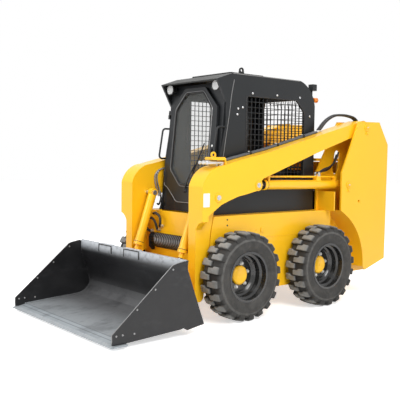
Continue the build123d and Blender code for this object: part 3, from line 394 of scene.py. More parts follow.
def add_piece(name, grids, material, body="chassis", slot=None, wrap="columns", crease=35.0):
    """Piece from point grids, riding on a body; the slot argument is not used."""
    mesh = grid_mesh(name, grids, wrap)
    smooth(mesh, crease)
    mesh.materials.append(material)
    piece = link(name, mesh)
    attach(piece, body)
    return piece


def unit(vectors):
    """Vectors scaled to length 1."""
    vectors = np.asarray(vectors, float)
    return vectors / np.linalg.norm(vectors, axis=-1, keepdims=True)


def turned(profile, places, axis, steps=20):
    """Turned pieces, one at each place: profile (h, r) in mm gives place + h·axis + r(cos a·u + sin a·v).

    u and v are square to the axis, and a runs round the circle in the given number of steps.
    """
    profile = np.asarray(profile, float) / 1000
    places = np.atleast_2d(places)
    axis = np.broadcast_to(unit(axis), places.shape)
    lean = np.where(np.abs(axis[:, :1]) < 0.9, [[1.0, 0, 0]], [[0, 1.0, 0]])
    u = unit(np.cross(axis, lean))[:, None, None]
    v = np.cross(axis, u[:, 0, 0])[:, None, None]
    angle = np.linspace(0, 2 * np.pi, steps, endpoint=False)[None, :, None, None]
    high, wide = profile[None, None, :, :1], profile[None, None, :, 1:]
    return places[:, None, None] + high * axis[:, None, None] + wide * (np.cos(angle) * u + np.sin(angle) * v)


def add_turned(name, shapes, *rest):
    """Piece made of turned shapes, each given by what turned takes."""
    add_piece(name, [turned(*shape) for shape in shapes], *rest, wrap="rows")


WASHER = 2.5                # thickness of a washer, in mm


def disc(low, high, r, drop=1.0, inset=1.0):
    """Profile of a round head or plug from low to high, its top edge chamfered by drop and inset."""
    return [(low, 0), (low, r), (high - drop, r), (high, r - inset), (high, 0)]


def bolts(places, axis, across=19.0, high=8.0):
    """Turned shapes of chamfered hexagon bolt heads, each on a round washer."""
    corner = across / 1.732
    head = disc(WASHER - 1, WASHER + high, corner, 1.5, 2)
    return [(head, places, axis, 6), (disc(-1, WASHER, corner + 4, 0.5), places, axis)]


def along(points, count=0):
    """Path through points in mm from the front axle: straight runs, or a Catmull-Rom curve of count places.

    The curve at f between points b and c, with neighbours a and d, is
    (2b + (c - a)f + (2a - 5b + 4c - d)f² + (3b - a - 3c + d)f³) / 2.
    """
    points = at(*np.asarray(points, float).T)
    if not count:
        return points
    padded = np.vstack([2 * points[0] - points[1], points, 2 * points[-1] - points[-2]])
    t = np.linspace(0, len(points) - 1, count)
    k = np.minimum(t.astype(int), len(points) - 2)
    f = (t - k)[:, None]
    a, b, c, d = padded[k], padded[k + 1], padded[k + 2], padded[k + 3]
    return 0.5 * (2 * b + (c - a) * f + (2 * a - 5 * b + 4 * c - d) * f ** 2 + (3 * b - a - 3 * c + d) * f ** 3)


def mirror(half):
    """Half of an outline, with its mirror image after it."""
    return np.array(half + [(-x, up) for x, up in half[::-1] if x], float)


def crossbar(reach, y, z):
    """Straight path across the machine's middle."""
    return along([(-reach, y, z), (0, y, z), (reach, y, z)])


def tube(path, radius, across=LEFT, steps=10, closed=False):
    """Round bar on a path: a ring at each point is path + r(cos a·n + sin a·b), n square to path and across.

    An open bar is closed by a ring of no radius at each end.
    """
    tangent = unit(np.roll(path, -1, 0) - np.roll(path, 1, 0) if closed else np.gradient(path, axis=0))
    n = unit(np.cross(tangent, np.asarray(across, float)))
    b = np.cross(tangent, n)
    angle = np.linspace(0, 2 * np.pi, steps, endpoint=False)[:, None]
    rings = path[:, None] + radius / 1000 * (np.cos(angle) * n[:, None] + np.sin(angle) * b[:, None])
    if closed:
        return rings
    caps = [np.repeat(path[end][None, None], steps, 1) for end in (0, -1)]
    return np.concatenate([caps[0], rings, caps[1]])


def add_bars(name, paths, radius, material, *rest, **shape):
    """Piece made of round bars of one radius, one on each path."""
    wrap = "both" if shape.get("closed") else "columns"
    add_piece(name, [tube(path, radius, **shape) for path in paths], material, *rest, wrap=wrap)


def rounded(half_u, half_v, corner, steps=5):
    """Outline of a rounded rectangle in mm: a quarter circle about each of four corner centres."""
    angle = np.arange(4)[:, None] * np.pi / 2 + np.linspace(0, np.pi / 2, steps)
    side_u, side_v = np.array([[1, -1, -1, 1], [1, 1, -1, -1]])[:, :, None]
    return np.stack([side_u * (half_u - corner) + corner * np.cos(angle),
                     side_v * (half_v - corner) + corner * np.sin(angle)], -1).reshape(-1, 2)


def eased(corners, reach, before, after):
    """Closed outline with each corner c cut: c + reach·b, c + before·b + after·a, c + reach·a.

    b and a point from the corner towards the one before and the one after it.
    """
    corners = np.array(corners, float)
    b, a = (unit(np.roll(corners, shift, 0) - corners) for shift in (1, -1))
    stages = [corners + reach * b, corners + before * b + after * a, corners + reach * a]
    return np.stack(stages, 1).reshape(-1, 2)


def plates(places, u, v, outline, levels):
    """Raised plates: the outline (p, q), scaled at each level, gives place + s(p·u + q·v) + h·(u × v)."""
    places = np.atleast_2d(places)[:, None, None]
    u, v, levels = unit(u), unit(v), np.asarray(levels, float)
    flat = outline[:, :1] * u + outline[:, 1:] * v
    rise = levels[:, 1][:, None, None] * np.cross(u, v)
    return places + (levels[:, 0][:, None, None] * flat + rise)[None] / 1000


# --- tyres
# Section of one tyre half, (x, r) in mm from its middle plane: bead, sidewall with rim rib, shoulder, crown.
WALL = np.array([
    (97, 212), (99, 222), (104, 228), (109, 238), (113.5, 254), (116, 272), (117, 292), (116.4, 305),
    (117.4, 309), (117.4, 314), (115.6, 318), (112.5, 330), (109.5, 334), (107, 342), (100, 350.5), (88, 356),
    (60, 360), (30, 362), (0, 363),
])
LINER = np.array([(0, 340), (60, 337), (90, 325), (103, 300), (104, 270), (98, 240), (84, 222), (82, 212)])
# Stations along one lug, from the crown's middle to the shoulder's foot, in mm:
# top x and r, root x and r, middle of the lug round the tyre, half its width.
LUG = np.array([
    (-9, 366, -9, 360, -2, 19), (-8, 387, -9, 360, -2, 19), (-5, 390, -8, 360, -2, 20),
    (34, 389.4, 34, 359, -2, 21), (44, 389, 44, 358, 0, 22), (54, 388.6, 54, 357, 5, 28),
    (62, 388.2, 60, 356, 5, 29), (90, 386, 86, 352, 5, 29), (104, 381.5, 98, 346, 5, 29),
    (111, 372, 104, 341, 5, 28), (114.5, 356, 108, 335, 5, 27), (116.5, 340, 111, 328, 5, 25),
    (116.3, 331, 112, 324, 5, 23),
])
# Points across one lug: side, how far outside the half width, and how high from root to top.
LUG_SIDE = np.array([-1, -1, -1, 1, 1, 1])
LUG_OUTSET = np.array([5, 1.2, -3, -3, 1.2, 5])
LUG_HEIGHT = np.array([0, 0.86, 1, 1, 0.86, 0])
LUGS = 20
LUG_ARC_R = 375                 # radius in mm at which the lugs' widths are laid out
TREAD_TURN = 5.15 / 18          # the tread's turn from its first lug upright, in lugs


def lugs(shift):
    """Every lug of one side of the tread, as (lug, station, section point, 3).

    A section runs root, flank, rounded shoulder, top and back; its points lie at an angle t / r round the
    tyre, where t is counted from the lug's own angle.
    """
    top_x, top_r, root_x, root_r, middle, half = LUG.T[:, :, None]
    x = root_x + (top_x - root_x) * LUG_HEIGHT
    r = root_r + (top_r - root_r) * LUG_HEIGHT
    t = middle + LUG_SIDE * (half + LUG_OUTSET)
    angle = (np.arange(LUGS) + shift)[:, None, None] * 2 * np.pi / LUGS + t / LUG_ARC_R
    return np.stack([np.broadcast_to(x, angle.shape), r * np.sin(angle), r * np.cos(angle)], -1) / 1000


mirrored = np.array([-1, 1])
CARCASS = turned(np.vstack([WALL * mirrored, WALL[::-1][1:], LINER[::-1], (LINER * mirrored)[1:]]), (0, 0, 0),
                 LEFT, 128)
TREAD = np.concatenate([lugs(-TREAD_TURN), lugs(0.5 - TREAD_TURN) * (-1, 1, 1)])
for tag, y, s in WHEELS:
    spot = np.array([s * WHEEL_X, AXLE_Y + y, TYRE_R])
    tyre, _ = (
        add_piece(f"tyre_{tag}_{part}", [spot + np.array([s, 1, 1]) * grid], RUBBER, f"wheel_{tag}", wrap=wrap)
        for part, grid, wrap in (("carcass", CARCASS, "both"), ("tread", TREAD, "none")))
    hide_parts(f"tyre_{tag}")

# --- wheel fittings
AXLE_Z = 390.0              # height of the axles
DISC_X = 626.5              # outer face of a wheel's disc
NUT_PCD = 106.0             # radius of the circle of wheel nuts
NUT_TURN = 0.227            # angle of the first nut above level, in radians
CAP_X = 651.5               # outer face of the hub's cap
STUD = disc(0, 20.5, 7, 1.5, 1.5)
COVER = [(-3, 0), (-3, 72), (1.5, 72), (2.5, 70), (2.5, 66), (1.2, 64), (1.2, 0)]
COVER_PLUG = disc(0, 3.4, 9, 0.8, 1.5)
VALVE = [(0, 0), (0, 7), (6, 7), (8, 4.5), (30, 4.5), (30, 5.5), (40, 5.5), (41, 4), (41, 0)]
RIM_WELD = [(0, 150), (2.5, 152.5), (5, 157), (4, 160), (0, 162)]
for tag, y, s in WHEELS:
    y, out, wheel = 1000 * y, (s, 0, 0), f"wheel_{tag}"
    angle = np.arange(6) * np.pi / 3 + NUT_TURN
    ring = at(s * DISC_X, y + NUT_PCD * np.cos(angle), AXLE_Z + NUT_PCD * np.sin(angle))
    add_turned(f"wheel_nuts_{tag}", bolts(ring, out, 26, 13) + [(STUD, ring, out, 12)], ZINC, wheel)
    hub = at(s * CAP_X, y, AXLE_Z)
    add_turned(f"hub_cover_{tag}", [(COVER, hub, out, 48), (COVER_PLUG, hub, out)], YELLOW, wheel)
    stem = at(s * (DISC_X - 8), y + 150, AXLE_Z + 96)
    add_turned(f"valve_{tag}", [(VALVE, stem, out, 12)], SEAL, wheel, "rim_black")
    add_turned(f"rim_weld_{tag}", [(RIM_WELD, at(s * (DISC_X + 2), y, AXLE_Z), out, 64)], RIM_BLACK, wheel)


def beside(x, line, count=0):
    """Path of (y, z) points at one x."""
    return along([(x, y, z) for y, z in line], count)


# --- bucket
CHEEK_X = 825.0
CHEEK_BOLTS = np.transpose([(-1387, 104), (-1332, 105), (-1229, 101), (-872, 547), (-1040, 410), (-1204, 277)])
CHEEK_EDGE = [(-1423.5, 60), (-1424, 118), (-1150, 349), (-876, 580), (-835, 590), (-757, 603)]
SHELL_WELD = [(-1330, 56), (-1060, 71), (-800, 86), (-720, 106), (-668, 150), (-650, 212), (-724, 432),
              (-742, 500)]
WELD_R = 5 + 0.8 * np.sin(np.arange(60) * 2.1)[:, None, None]      # a bead's radius, rippled along its length
DOME = [(-2, 0), (-2, 8), (1.5, 8), (3.5, 6), (4.5, 3), (4.8, 0)]
heads, cheek_rim_highlights, beads = [], [], []
for name, s in SIDES:
    heads.append((DOME, at(s * CHEEK_X, *CHEEK_BOLTS), (s, 0, 0), 18))
    heads.append((DOME, at(s * (CHEEK_X - 8), *CHEEK_BOLTS), (-s, 0, 0), 18))
    cheek_rim_highlights.append(beside(s * (CHEEK_X - 4), CHEEK_EDGE))
    beads.append(beside(s * (CHEEK_X - 10), SHELL_WELD, len(WELD_R)))
add_turned("bucket_cheek_bolts", heads, LINE_GREY, "bucket", "bucket_black")
# painted highlight: light grey bars along the cheeks' sloping edges
add_bars("bucket_cheek_rim_highlights", cheek_rim_highlights, 3.2, LINE_GREY, "bucket", "edge_steel", steps=8)
add_bars("bucket_welds", beads, WELD_R, BUCKET_BLACK, "bucket", steps=8)
add_bars("bucket_lip_bar", [crossbar(820, -731, 603)], 6, EDGE_STEEL, "bucket", across=UP, steps=12)
add_bars("bucket_edge_weld", [crossbar(815, -1402, 38)], 2.5, EDGE_STEEL, "bucket", across=UP, steps=8)
pad_edges = [along([(x0, -752, 532), (x0, -752, 600), (x1, -752, 600), (x1, -752, 532)])
             for x0, x1 in ((-475, -265), (-56, 173))]
add_bars("lip_pad_edges", pad_edges, 5, SEAL, "bucket", "bucket_black", across=BACK, steps=8)

# --- arms: plate, pins, welds, lines
KNEE_X = 618.0
ARM_PINS = np.transpose([(231, 1174), (-240, 1075)])            # (y, z) of the lift and the tilt cylinder's pin
TOWER_PINS = np.transpose([(1724, 1743), (1452, 1161)])         # and of the arm's and the lift cylinder's pin
# Part, body, pins, outer x of the pins' heads and of the face they stand on, and radius of each weld.
PINNED = (("arm", "lift_arm", ARM_PINS, 630, KNEE_X, (38, 38)),
          ("tower", "chassis", TOWER_PINS, 672, 660, (40, 35)))
NIPPLE = [(-1, 0), (-1, 6), (3, 6), (4, 4), (9, 4), (10, 2.5), (12, 3.5), (14, 2.5), (14, 0)]


def ring_weld(place, r, s):
    """Weld bead of radius r round a pin: the section is 2.2 sin t + 1 high and 3 cos t wide."""
    t = np.linspace(0, 2 * np.pi, 9)
    return (np.stack([2.2 * np.sin(t) + 1, r + 3 * np.cos(t)], -1), place, (s, 0, 0), 40)


blank = plates(at(KNEE_X, -371, 1056), BACK, UP, rounded(35, 58, 6),
               [(0, -1), (1, -1), (1, 0.8), (0.97, 1.6), (0, 1.6)])
add_piece("knee_plate", [blank], ENAMEL, "lift_arm")
for name, s in SIDES:
    for part, body, pins, x, weld_x, radii in PINNED:
        add_turned(f"{part}_grease_nipples_{name}", [(NIPPLE, at(s * x, *pins), (s, 0, 0), 12)], ZINC, body)
        welds = [ring_weld(at(s * weld_x, *pin), r, s) for pin, r in zip(pins.T, radii)]
        add_turned(f"{part}_pin_welds_{name}", welds, YELLOW, body)
    keeper = plates(at(s * 664, TOWER_PINS[0], TOWER_PINS[1] - (58, 52)), (0, s, 0), UP, rounded(13, 17, 6),
                    [(0, -5), (1, -5), (1, 3), (0.93, 4.5), (0, 4.5)])
    add_piece(f"pin_keepers_{name}", [keeper], YELLOW)
    screws = bolts(at(s * 668, TOWER_PINS[0], TOWER_PINS[1] - (60, 54)), (s, 0, 0), 13, 6)
    add_turned(f"pin_keeper_screws_{name}", screws, YELLOW, "chassis", "pin_steel")

# Clamps that hold the two steel lines on the left arm's top, each a saddle with one screw: y, z and lean.
LINES_X = (456, 484)
LINES_MID = 470
CLAMPS = [(-60, 1380.3, 13.65), (250, 1447.1, 12.15), (600, 1529.8, 14.2), (960, 1621, 14.2)]
saddles, screws = [], []
for y, z, lean in CLAMPS:
    c, q = math.cos(math.radians(lean)), math.sin(math.radians(lean))
    saddles.append(plates(at(LINES_MID, y - 9 * q, z + 9 * c), LEFT, (0, c, q), rounded(30, 14, 5),
                          [(0, -10), (1, -10), (1, 13), (0.9, 16), (0, 16)]))
    screws.extend(bolts(at(LINES_MID, y - 25 * q, z + 25 * c), (0, -q, c), 13, 6))
sleeves = [beside(x, [(-150, 1370), (-20, 1399), (431, 1496), (1150, 1679)]) for x in LINES_X]
add_bars("arm_line_sleeves", sleeves, 13, SLEEVE, "lift_arm", steps=12)
add_piece("arm_line_clamps", saddles, CAB_BLACK, "lift_arm")
add_turned("arm_line_clamp_screws", screws, ZINC, "lift_arm")

# Unions where the steel lines turn into hoses at the arm's rear, and sleeves on the quick couplers.
UNION = [(-30, 0), (-30, 11), (-14, 11), (-14, 14), (6, 14), (6, 12), (34, 12.5), (36, 11), (36, 0)]
UNION_NUT = disc(6, 42, 14, 2, 1.5)
COUPLER_GRIP = [(0, 0), (0, 14), (3, 18.5), (6, 17.6), (9, 18.5), (12, 17.6), (15, 18.5), (18, 17.6),
                (21, 18.5), (24, 14), (24, 0)]
COUPLER_FACE = [(-3, 0), (-3, 12), (0, 15), (12, 15), (12, 0)]
ARM_SLOPE = (0, 749, 190)
COUPLERS_X = (538, 584)
line_ends = at(LINES_X, 1168, 1684)
add_turned("arm_line_unions", [(UNION, line_ends, ARM_SLOPE, 6), (UNION_NUT, line_ends, ARM_SLOPE)],
           ZINC, "lift_arm")
add_turned("coupler_sleeves", [(COUPLER_GRIP, at(COUPLERS_X, -350, 1372), BACK, 32)], PIN_STEEL, "lift_arm")
add_turned("coupler_faces", [(COUPLER_FACE, at(COUPLERS_X, -390, 1372), BACK, 24)], ZINC, "lift_arm")
pigtails = [along([(x, -170, 1372), (x, -140, 1374), (x - 30, -110, 1372),
                   (x - 70 - 0.2 * (x - COUPLERS_X[0]), -90, 1372), (end_x, -70, 1386)], 40)
            for x, end_x in zip(COUPLERS_X, LINES_X)]
add_bars("coupler_pigtails", pigtails, 8, LINE_GREY, "lift_arm", "hose_rubber", across=UP, steps=12)

# Steel pipes inside the arms, from the beam down to the tilt cylinders' pins, and the hoses they feed.
INNER_PIPE = [(-49, 1307), (-95, 1292), (-130, 1247), (-132, 1190), (-117, 1133), (-102, 1095), (-96, 1070)]
INNER_UNION = [(-16, 0), (-16, 10), (12, 10), (12, 12), (30, 12), (32, 10), (32, 0)]
for name, s in SIDES:
    x = s * 421
    pipes = [beside(x, np.array(INNER_PIPE) - (lag, 0.4 * lag), 48) for lag in (0, 24)]
    add_bars(f"arm_inner_pipes_{name}", pipes, 7, LINE_GREY, "lift_arm", "hose_rubber", steps=12)
    unions = (INNER_UNION, at(x, [-97, -121], [1072, 1062]), (0, 0.35, -1), 6)
    add_turned(f"arm_inner_unions_{name}", [unions], ZINC, "lift_arm")
    drop = along([(x, -88, 1046), (x, -84, 1010), (x - s * 6, -100, 972), (x - s * 22, -128, 952),
                  (x - s * 44, -158, 962)], 40)
    add_bars(f"arm_inner_hoses_{name}", [drop], 9, HOSE, "lift_arm", steps=12)

# --- cylinders
LIFT_X = 527.5
PORT_Z = 1248
# Kind, the barrel's and the rod's pin as (y, z), x, the barrel's radius, and the gland's place along it.
CYLINDERS = (("lift", TOWER_PINS[:, 1], ARM_PINS[:, 0], LIFT_X, 49, 1077),
             ("tilt", ARM_PINS[:, 1], np.array((-470, 400)), 338, 45, 520))
PORT = [(-4, 0), (-4, 13), (8, 13), (8, 11), (24, 11), (24, 12.5), (34, 12.5), (36, 11), (36, 0)]
NECK = [(-2, 20.5), (-2, 24), (44, 24), (46, 22.5), (46, 20.5)]
NECK_SEAL = [(45, 20.3), (45, 23.5), (49, 23.5), (51, 21.5), (51, 20.3)]
for name, s in SIDES:
    for kind, base, tip, x, r, gland in CYLINDERS:
        run = unit(tip - base)
        way, spot, barrel = (0, *run), at(s * x, *(base + run * gland)), f"{kind}_barrel_{name}"
        lip_ring = ([(-34, r - 1), (-34, r + 1.5), (-30, r + 1.5), (-29, r - 1)], spot, way, 48)
        seal = [(-2, r - 6), (3, r - 8), (6, r - 16), (6, r - 23), (0, r - 23)]
        if kind == "tilt":
            add_turned(f"tilt_neck_{name}", [(NECK, spot, way, 40)], YELLOW, barrel)
            seal = NECK_SEAL
        add_turned(f"{kind}_gland_{name}", [lip_ring, (seal, spot, way, 40)], SEAL, barrel, "hose_rubber")
        groove = ([(18, r - 5), (18, r - 2.5), (22, r - 1.5), (26, r - 2.5), (26, r - 5)],
                  at(s * x, *(base + run * 62)), way, 40)
        add_turned(f"{kind}_base_weld_{name}", [groove], YELLOW, barrel)
    barrel = f"lift_barrel_{name}"
    ports = at([s * (LIFT_X - 11), s * (LIFT_X + 14)], [1122 - 11, 1122 + 14], PORT_Z)
    add_turned(f"lift_port_fittings_{name}", [(PORT, ports, UP, 6)], ZINC, barrel)
    side_port = bolts(at(s * (LIFT_X + 25), 1121, PORT_Z + 14), (s, 0, 0), 22, 9)
    add_turned(f"lift_port_plugs_{name}", side_port, ZINC, barrel)

# --- front of the frame
FRAME_X = 530
CRIMP = [(-2, 0), (-2, 15), (8, 15), (8, 14), (30, 14.5), (33, 13), (33, 0)]
CRIMP_NUT = disc(-2, 8, 18)
hose_ends = at([-350, -246, -402, -283], -190.3, [872, 757, 700, 722])
crimps = [(CRIMP, hose_ends, (0, -1, 0)), (CRIMP_NUT, hose_ends, (0, -1, 0), 6)]
add_turned("front_hose_crimps", crimps, ZINC)
step_bolts, seams, hole_shades, tabs = [], [], [], []
for name, s in SIDES:
    out = (s, 0, 0)
    step_bolts.extend(bolts(at(s * 375, [-228, -206], [566, 660]), out, 17, 7))
    seams.append(beside(s * FRAME_X, [(-170, 690), (500, 690), (1236, 690)]))
    # painted shade: black discs that stand for two holes in the frame's side
    hole_shades.append((disc(-1, 1.2, 8, 0.4), at(s * FRAME_X, [-55, -56], [821, 871]), out, 18))
    tabs.append(plates(at(s * (FRAME_X + 4), 374, 759), (0, s, 0), UP, rounded(17, 22, 5),
                       [(0, -5), (1, -5), (1, 3), (0.94, 5), (0, 5)]))
add_turned("step_bolts", step_bolts, ZINC)
add_bars("frame_seams", seams, 2.2, YELLOW, across=UP, steps=8)
add_turned("frame_hole_shades", hole_shades, SEAL)
add_piece("frame_tabs", tabs, YELLOW)

# Round bars along the top of each of the step's leaning ribs, from the lower to the upper lip of each, in a
# lighter grey: a painted highlight.
RIB_LEAN = math.radians(18)
RIB_HALF = 5.5
RIB_MID_Z = 618
CREST = np.array([(-214, -68), (-240, -40), (-252.5, 0), (-240, 40), (-214, 68)])
rib_x = -297 + 27 * np.arange(24) + RIB_HALF * math.cos(RIB_LEAN)
crest_x = rib_x[:, None] - CREST[:, 1] * math.sin(RIB_LEAN)
crest_z = RIB_MID_Z + RIB_HALF * math.sin(RIB_LEAN) + CREST[:, 1] * math.cos(RIB_LEAN)
crest_highlights = [along(np.stack([row, CREST[:, 0], crest_z], -1), 14) for row in crest_x]
add_bars("step_rib_crest_highlights", crest_highlights, 4.2, LINE_GREY, steps=8)

# --- cab
DECK_Z = 905.0
DOOR_FOOT_Y = -85.0
DOOR_LEAN = math.radians(5.5)
DOOR_FACE = 33.0            # outer face of the front door, in front of the cab
DOOR_OUT = (0, -math.cos(DOOR_LEAN), math.sin(DOOR_LEAN))
DOOR_UP = (0, math.sin(DOOR_LEAN), math.cos(DOOR_LEAN))


def on_door(points, out, count=0):
    """Path of points (x, up) in mm on the sloping front, out in front of the cab."""
    x, up = np.asarray(points, float).T
    y = DOOR_FOOT_Y + up * math.sin(DOOR_LEAN) - out * math.cos(DOOR_LEAN)
    return along(np.stack([x, y, DECK_Z + up * math.cos(DOOR_LEAN) + out * math.sin(DOOR_LEAN)], -1), count)


FOOT_EDGE = mirror([(-352, 262), (-350, 240), (-303, 216), (-262, 185), (-225, 156), (-195, 130), (-176, 110),
                    (-158, 97), (-135, 88), (-110, 85), (-40, 85)])
DOOR_EDGE = mirror([(352, 262), (360, 467), (330, 974), (146, 1156), (0, 1156)])
PANE = mirror([(-110, 251), (-270, 400), (-262, 959), (-125, 1110)])
# painted highlight: a light grey bar along the door's curved foot edge
add_bars("door_foot_highlight", [on_door(FOOT_EDGE, DOOR_FACE - 1, 120)], 3.6, LINE_GREY, "front_door",
         across=DOOR_OUT)
add_bars("door_edge_roll", [on_door(DOOR_EDGE, DOOR_FACE - 2)], 4.5, CAB_BLACK, "front_door", across=DOOR_OUT)
pane_edge = eased(PANE, 22, 9, 3.6)
add_bars("door_glass_seal", [on_door(pane_edge, DOOR_FACE)], 6.5, SEAL, "front_door", across=DOOR_OUT, steps=12,
         closed=True)
# painted highlight: a light grey ring on the bevel outside the glass's seal
add_bars("door_glass_bevel_highlight", [on_door(pane_edge * 1.032 + (0, -22), DOOR_FACE)], 3.0, LINE_GREY, "front_door",
         across=DOOR_OUT, steps=8, closed=True)

# Wiper: motor boss on the door's foot, arm, and a blade held along the glass.
arm_line = on_door([(-22, 200), (10, 283), (43, 338), (85, 405), (109, 440)], DOOR_FACE + 12)
blade_line = on_door([(60, 330), (109, 436), (155, 530), (205, 640)], DOOR_FACE + 2)
BOSS = [(-2, 0), (-2, 19), (6, 19), (10, 15), (16, 9), (18, 8), (18, 0)]
add_bars("wiper_arm", [arm_line], 7, SEAL, "front_door", across=DOOR_OUT)
add_bars("wiper_blade", [blade_line], 6, SEAL, "front_door", across=DOOR_OUT, steps=6)
add_turned("wiper_boss", [(BOSS, on_door([(-20, 196)], DOOR_FACE), DOOR_OUT, 24)], SEAL, "front_door")

# Door handle: a lever on an oval plate with a round key lock.
handle = plates(on_door([(313, 520)], DOOR_FACE + 16), LEFT, DOOR_UP, rounded(11, 50, 10),
                [(0, -6), (1, -6), (1, 3), (0.8, 7), (0, 8)])
lock = (disc(-4, 5, 11, 1, 2), on_door([(313, 615)], DOOR_FACE), DOOR_OUT)
add_piece("door_handle", [handle], SEAL, "front_door")
add_turned("door_lock", [lock], ZINC, "front_door")

# Button-head screws along the cab's sides, painted highlights down each front pillar's fold and along the
# roof's side edge, and the window's seal.
CAB_X = 413.0
SCREWS = np.transpose(
    [(340, 2010), (661, 2013), (981, 2011), (1127, 1836), (218, 1875), (162, 1860), (153, 1808)])
BUTTON = [(-1, 0), (-1, 10), (1, 10), (3.5, 7), (4, 4), (2.5, 3.5), (2.5, 0)]
PILLAR_LINE = [(-62, 1080), (-9, 1437), (21, 1621), (52, 1796), (78, 1981), (107, 2116)]
ROOF_LINE = [(y, 2171) for y in (95, 300, 500, 740, 975)]
SIDE_WINDOW = [(262, 1215), (262, 1980), (940, 1980), (1050, 1865), (1050, 1215)]
for name, s in SIDES:
    add_turned(f"cab_screws_{name}", [(BUTTON, at(s * CAB_X, *SCREWS), (s, 0, 0), 16)], PIN_STEEL, "chassis",
               "cab_black")
    # painted highlights: light grey bars on the pillar's fold and the roof's side edge
    lines = [tube(beside(s * CAB_X, PILLAR_LINE, 40), 2.6, steps=8),
             tube(beside(s * (CAB_X - 4), ROOF_LINE, 40), 5, steps=12)]
    add_piece(f"cab_edge_highlight_{name}", lines, LINE_GREY)
    add_bars(f"side_window_seal_{name}", [beside(s * (CAB_X - 1), eased(SIDE_WINDOW, 24, 7, 7))], 6, SEAL,
             closed=True)
    feet = at(s * 403, [-35, 12], [1400, 1690])
    pads = ([(-9, 0), (-9, 17), (-4, 17), (0, 11), (0, 0)], feet, (0, -1, 0))
    add_turned(f"grab_handle_feet_{name}", [pads], CAB_BLACK)
add_bars("roof_seams", [crossbar(392, y, 2175) for y in (120, 660)], 2.4, ROOF_BLACK, across=UP, steps=8)
roof_screws = bolts(at([-240, 0, 240] * 2, np.repeat([215, 565], 3), 2203), UP, 13, 5)
add_turned("roof_screws", roof_screws, PIN_STEEL, "chassis", "cab_black")

# Rear wall with its window carried up into the rounded corner, and the guard's bars that follow it.
WINDOW_TOP = mirror([(300, 1870), (300, 1935), (262, 2008)])
middle = WINDOW_TOP.mean(0)
plug = plates(at(middle[0], 1150, middle[1]), LEFT, UP, WINDOW_TOP - middle,
              [(0, -110), (1, -110), (1, 110), (0, 110)])
cutter = link("window_plug", grid_mesh("window_plug", [plug], "columns"))
wall_mesh = NODES["cab_rear"].data.copy()
rear_wall = link("rear_wall", wall_mesh)
mend(wall_mesh, 1e-6)
hole = rear_wall.modifiers.new("window", "BOOLEAN")
hole.object = cutter
hole.solver = "EXACT"
bpy.context.view_layer.objects.active = rear_wall
bpy.ops.object.modifier_apply(modifier="window")
bpy.data.objects.remove(cutter)
wall_mesh.materials.clear()
wall_mesh.materials.append(CAB_BLACK)
wall_mesh.polygons.foreach_set("material_index", np.zeros(len(wall_mesh.polygons), int))
smooth(wall_mesh, 25)
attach(rear_wall, "chassis")
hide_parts("cab_rear")
bars = [tube(beside(x, [(1171, 1885), (1171, 1935), (1161, 1975), (1147, 2014 - 0.4 * max(0, abs(x) - 262))]),
             3, steps=6) for x in range(-272, 279, 50)]
bars += [tube(crossbar(reach, y, z), 3, across=UP, steps=6)
         for y, z, reach in ((1177, 1873, 305), (1176, 1923, 305), (1168, 1973, 285))]
add_piece("rear_guard_top", bars, CAB_BLACK)

# --- lamps
BOWL = [(0, -40), (0.5, -40), (0.72, -30), (0.93, -12), (1.0, -4), (1.0, 0), (0, 0)]
PANE_OF_LAMP = [(0, -6), (0.93, -6), (0.93, 1), (0.88, 3.4), (0.6, 5.2), (0.3, 6), (0, 6.2)]
BEZEL = [(0.9, -3), (1.05, -3), (1.05, 2), (1.0, 4), (0.92, 4), (0.9, 1)]
TAIL = [(0, -8), (1, -8), (1, 2), (0.93, 6), (0.5, 8), (0, 8.5)]
lamp_face = rounded(50, 46, 42, 8)
lenses, bezels, tails, bowls = [], [], [], []
for name, s in SIDES:
    front, rear = at(s * 335, -46, 2062), at(s * 355, 1255, 2130)
    lenses += [plates(front, LEFT, UP, lamp_face, PANE_OF_LAMP),
               plates(rear, (-1, 0, 0), UP, rounded(27, 29, 6), PANE_OF_LAMP)]
    bezels += [plates(front, LEFT, UP, lamp_face, BEZEL),
               plates(rear, (-1, 0, 0), UP, rounded(28, 30, 7), BEZEL)]
    bowls.append(plates(front, LEFT, UP, lamp_face, BOWL))
    tails.append(plates(at(s * 540, 2106, 1465), (-1, 0, 0), UP, rounded(33, 33, 8), TAIL))
add_piece("lamp_lenses", lenses, LENS)
add_piece("lamp_bowls", bowls, SEAL)
add_piece("lamp_bezels", bezels, SEAL)
add_piece("tail_lenses", tails, RED)
INDICATOR = [(-3, 0), (-3, 25.5), (2, 25.5), (4, 22), (10, 19), (13, 12), (14, 0)]
add_turned("indicator_domes", [(INDICATOR, at([388, -388], 1248, 2003), BACK, 28)], AMBER)

# --- engine covers
LATCH = [(0, -6), (1, -6), (1, 6), (0.86, 10), (0, 10)]
LOCK = disc(-1, 6, 12, 1, 2)
latch = plates(at(345, 2113, 945), LEFT, (0, 0, -1), rounded(12, 58, 8), LATCH)
add_piece("rear_door_latch", [latch], SEAL, "rear_door")
add_turned("rear_door_lock", [(LOCK, at(345, 2105, 1050), BACK)], ZINC, "rear_door")
door_screws = bolts(at([-330, 330] * 2, 2105, [440, 440, 1360, 1360]), BACK, 15, 5)
add_turned("rear_door_screws", door_screws, ZINC, "rear_door")
louvres = [crossbar(268, 2105, z) for z in range(921, 1258, 42)]
add_bars("rear_door_louvre_lips", louvres, 4, YELLOW, "rear_door", across=UP, steps=8)
slots = [crossbar(282, y, 1420) for y in range(1420, 1871, 75)]
add_bars("hood_slot_lips", slots, 3, YELLOW, "hood", across=UP, steps=8)

# --- seat and levers
VOXEL = 0.006
SWELL_FRAMES = 20
SEAM_WIDTH = 7              # in mm


def read(vertices, kind="co"):
    """Places or normals of a mesh's vertices."""
    values = np.empty(len(vertices) * 3)
    vertices.foreach_get(kind, values)
    return values.reshape(-1, 3)


